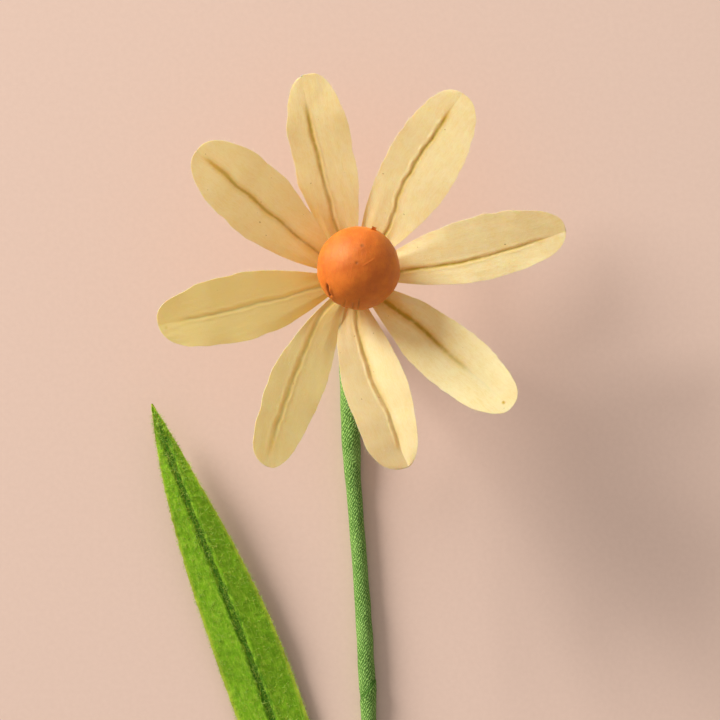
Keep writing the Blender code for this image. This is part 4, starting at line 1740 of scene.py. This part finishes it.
@dataclass
class Fluff:
    """Many short bent fibres, each a three-sided tapering strand."""

    name: str
    head: Head
    foot: Array
    length: Array
    azimuth: Array
    rise: Array
    radius: float
    seed: int

    JOINTS = 4
    TAPER = (1.0, 0.9, 0.7, 0.25)
    SAG = 0.16
    LOWEST = 0.05

    def build(self, material: Material, slot: Slot) -> Piece:
        """Make all the strands as one mesh.

        Args:
            material: The fibre finish.
            slot: The record's slot for them.

        Returns:
            The finished piece.
        """
        draw = np.random.default_rng(self.seed)
        count = len(self.foot)
        bend = draw.normal(0.0, 1.1, count)
        rings = []
        point = self.foot.copy()
        azimuth = self.azimuth.copy()
        rise = self.rise.copy()
        for joint in range(self.JOINTS):
            ahead = np.stack([np.cos(azimuth) * np.cos(rise), np.sin(azimuth) * np.cos(rise),
                              np.sin(rise)], axis=1)
            flat = unit(np.stack([-ahead[:, 1], ahead[:, 0], 0.0 * azimuth + 1e-6], axis=1))
            up = np.cross(ahead, flat)
            thin = self.radius * self.TAPER[joint]
            for corner in range(3):
                angle = 2.0 * math.pi * corner / 3.0
                rings.append(point + thin * (flat * math.cos(angle) + up * math.sin(angle)))
            point = point + ahead * (self.length / (self.JOINTS - 1))[:, None]
            azimuth = azimuth + bend / self.JOINTS
            rise = rise - self.SAG
        points = np.stack(rings, axis=1).reshape(-1, 3)
        points[:, 2] = np.maximum(points[:, 2], self.LOWEST)
        pairs = [(3 * joint + corner, 3 * joint + (corner + 1) % 3)
                 for joint in range(self.JOINTS - 1) for corner in range(3)]
        strand = [(low, side, side + 3, low + 3) for low, side in pairs]
        per = 3 * self.JOINTS
        quads = (np.arange(count)[:, None, None] * per + np.array(strand)[None]).reshape(-1, 4)
        ends = np.array([(2, 1, 0), (per - 3, per - 2, per - 1)])
        caps = (np.arange(count)[:, None, None] * per + ends[None]).reshape(-1, 3)
        mesh = bpy.data.meshes.new(self.name)
        mesh.from_pydata(self.head.place(points).tolist(), [], quads.tolist() + caps.tolist())
        mesh.shade_smooth()
        piece = bpy.data.objects.new(self.name, mesh)
        bpy.context.scene.collection.objects.link(piece)
        clean_up(piece, 1e-7)
        dress(piece, material)
        seat(piece, slot)
        return piece


# ---------------------------------------------------------------- the whole flower

def petal_set(head: Head) -> list[Petal]:
    """The eight petals, counted anticlockwise from the right.

    Args:
        head: Where the petals meet.

    Returns:
        The petals, not built yet.
    """
    return [
        Petal(head, 1, 13.0, 48.2, 6.6, 7.3, -0.04, (-1.3, -2.2, -1.9, -0.7), -9.0, 32.0, 0.12,
              slit=0.50, lip_right=0.06, tint=0.9, tint_tip=0.6),
        Petal(head, 2, 59.0, 47.4, 7.6, 8.4, 0.0, (-1.5, 0.8, 0.6, 0.1), 32.0, 78.0, 0.05,
              slit=0.55, lip_left=0.07, lip_right=0.0, tint=0.75, tint_tip=0.9),
        Petal(head, 3, 102.0, 45.6, 7.6, 6.2, -0.11, (1.0, 1.6, 2.0, 1.8), 78.0, 122.0, 0.05,
              slit=0.60, lip_left=0.04, lip_right=0.05, tint=0.75, tint_tip=1.0,
              crease_end=0.91, curl=0.10, warmth=0.1, dusk=0.05),
        Petal(head, 4, 140.7, 43.5, 8.1, 7.8, 0.0, (0.6, 0.7, 0.5, 0.2), 122.0, 171.0, 0.12, 0.03,
              slit=0.60, lip_left=0.04, tint=0.85, tint_tip=1.35, crease_end=1.0, warmth=0.2),
        Petal(head, 5, 193.8, 43.3, 8.0, 6.5, 0.05, (0.6, 0.8, 1.0, 0.4), 171.0, 219.0, 0.07, -0.06,
              slit=0.65, lip_right=0.05, tint=0.85, tint_tip=0.9, spot=(0.965, 0.9), lap_deg=9.0,
              warmth=0.75),
        Petal(head, 6, 246.4, 45.0, 4.7, 7.4, 0.37, (-3.0, -3.0, -2.1, -0.4), 219.0, 253.5, 0.01,
              slit=0.70, tint_tip=0.9, crease_end=1.0, warmth=0.5),
        Petal(head, 7, 285.5, 43.4, 5.5, 8.2, 0.0, (-1.6, -1.7, 0.0, 0.5), 253.5, 302.0, 0.40, -0.13,
              slit=0.60, lip_left=0.0, lip_right=0.20, shoulder_right=0.36, shoulder_left=1.5,
              lap_deg=0.0, tint=0.9, tint_tip=0.45, dusk=0.34),
        Petal(head, 8, 321.0, 45.0, 6.9, 7.0, 0.0, (0.6, 0.6, -0.1, -0.2), 302.0, 351.0, 0.16, 0.02,
              lip_left=0.06, arch=-0.2, tip_drop=0.0, shoulder_right=1.3, crease_end=0.80,
              tint=1.1, tint_tip=0.3, spot=(0.955, -0.4)),
    ]


@dataclass
class Studio:
    """The plain pale floor, the soft light and the camera that looks straight down."""

    head: Head
    camera_height: float = 0.80
    view_width: float = 0.1646
    aim_x: float = 1.76
    aim_y: float = -18.26
    key_azimuth_deg: float = 139.5
    key_elevation_deg: float = 20.0
    key_distance: float = 2.6
    key_size: float = 1.25
    key_power: float = 115.0
    fill_strength: float = 0.43
    key_colour: Colour = (1.0, 0.965, 0.905)
    fill_colour: Colour = (1.0, 0.94, 0.885)
    floor_deep: Colour = (0.760, 0.566, 0.478)
    floor_light: Colour = (0.785, 0.588, 0.498)

    FLOOR_SIZE = 6.0
    SENSOR = 36.0

    def build_floor(self) -> None:
        """A large matte sheet under the flower."""
        deselect_all()
        low = float(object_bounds()[0][2])
        bpy.ops.mesh.primitive_plane_add(size=self.FLOOR_SIZE, location=(0.0, 0.0, low))
        floor = bpy.context.object
        floor.name = "floor"
        material, nodes, shader = new_material("floor_pale_pink")
        grain = nodes.noise(nodes.own_place(), 0.9, 3.0)
        tint = nodes.window(grain, 0.2, 0.8)
        colour = nodes.mix(tint, self.floor_deep, self.floor_light)
        nodes.paint(shader, colour, 0.9, {"Specular IOR Level": 0.1})
        dress(floor, material)
        floor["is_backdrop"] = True

    def build_lights(self) -> None:
        """A large low key light from the upper left, and an even fill."""
        azimuth = math.radians(self.key_azimuth_deg)
        elevation = math.radians(self.key_elevation_deg)
        aim = Vector(self.head.place(self.head.middle))
        level = math.cos(elevation)
        toward = Vector((level * math.cos(azimuth), level * math.sin(azimuth), math.sin(elevation)))
        lamp = bpy.data.lights.new("key", "AREA")
        lamp.shape = "DISK"
        lamp.size = self.key_size
        lamp.energy = self.key_power
        lamp.color = self.key_colour
        key = bpy.data.objects.new("key", lamp)
        key.location = aim + toward * self.key_distance
        key.rotation_mode = "QUATERNION"
        key.rotation_quaternion = toward.to_track_quat("Z", "Y")
        bpy.context.scene.collection.objects.link(key)
        world = bpy.data.worlds.new("studio")
        world.use_nodes = True
        sky = world.node_tree.nodes["Background"]
        sky.inputs["Color"].default_value = (*self.fill_colour, 1.0)
        sky.inputs["Strength"].default_value = self.fill_strength
        bpy.context.scene.world = world

    def build_camera(self) -> None:
        """A long lens straight above, so that the flower lies flat in the picture."""
        bpy.context.scene.view_settings.view_transform = "Standard"
        data = bpy.data.cameras.new("camera")
        data.sensor_width = self.SENSOR
        data.lens = self.SENSOR * self.camera_height / self.view_width
        camera = bpy.data.objects.new("camera", data)
        aim = self.head.place(np.array([self.aim_x, self.aim_y, 0.0]))
        camera.location = (aim[0], aim[1], self.camera_height)
        bpy.context.scene.collection.objects.link(camera)
        bpy.context.scene.camera = camera


def dress_stem_wire() -> None:
    """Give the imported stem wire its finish."""
    steel = WireFinish("bare_steel_wire", (0.62, 0.61, 0.58), (0.40, 0.39, 0.37), 0.38, 1.0)
    dress(bpy.data.objects["stem_wire"], steel.material())


def main() -> None:
    """Build and dress the flower, light it and report each piece."""
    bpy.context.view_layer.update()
    logging.basicConfig(level=logging.INFO, format="%(message)s")
    head = Head()
    studio = Studio(head)
    studio.build_camera()
    fibres = fibre_group()
    fleece = fleece_group()
    cream = PetalFinish().material(fibres)
    orange = BallFinish().material(fibres)
    thread = WireFinish("olive_thread_wire", (0.42, 0.32, 0.07), (0.20, 0.15, 0.02), 0.7, 0.0)
    thin = thread.material()
    hair = FluffFinish("petal_fibre", (0.93, 0.80, 0.54), (0.84, 0.66, 0.36)).material()
    for petal in petal_set(head):
        petal.build(cream)
        petal.build_wire(thin)
        petal.build_fringe(hair)
    ball = Ball(head)
    ball.build(orange)
    ball.build_flap(orange)
    Stem(head).build(TapeFinish().material())
    leaf = Leaf(head)
    leaf.build(LeafFinish().material(fleece))
    leaf.build_wire(thin)
    fluff = FluffFinish("leaf_fibre", (0.52, 0.68, 0.12), (0.26, 0.47, 0.02))
    leaf.build_fluff(fluff.material())
    dress_stem_wire()
    studio.build_floor()
    studio.build_lights()


if __name__ == "__main__":
    main()
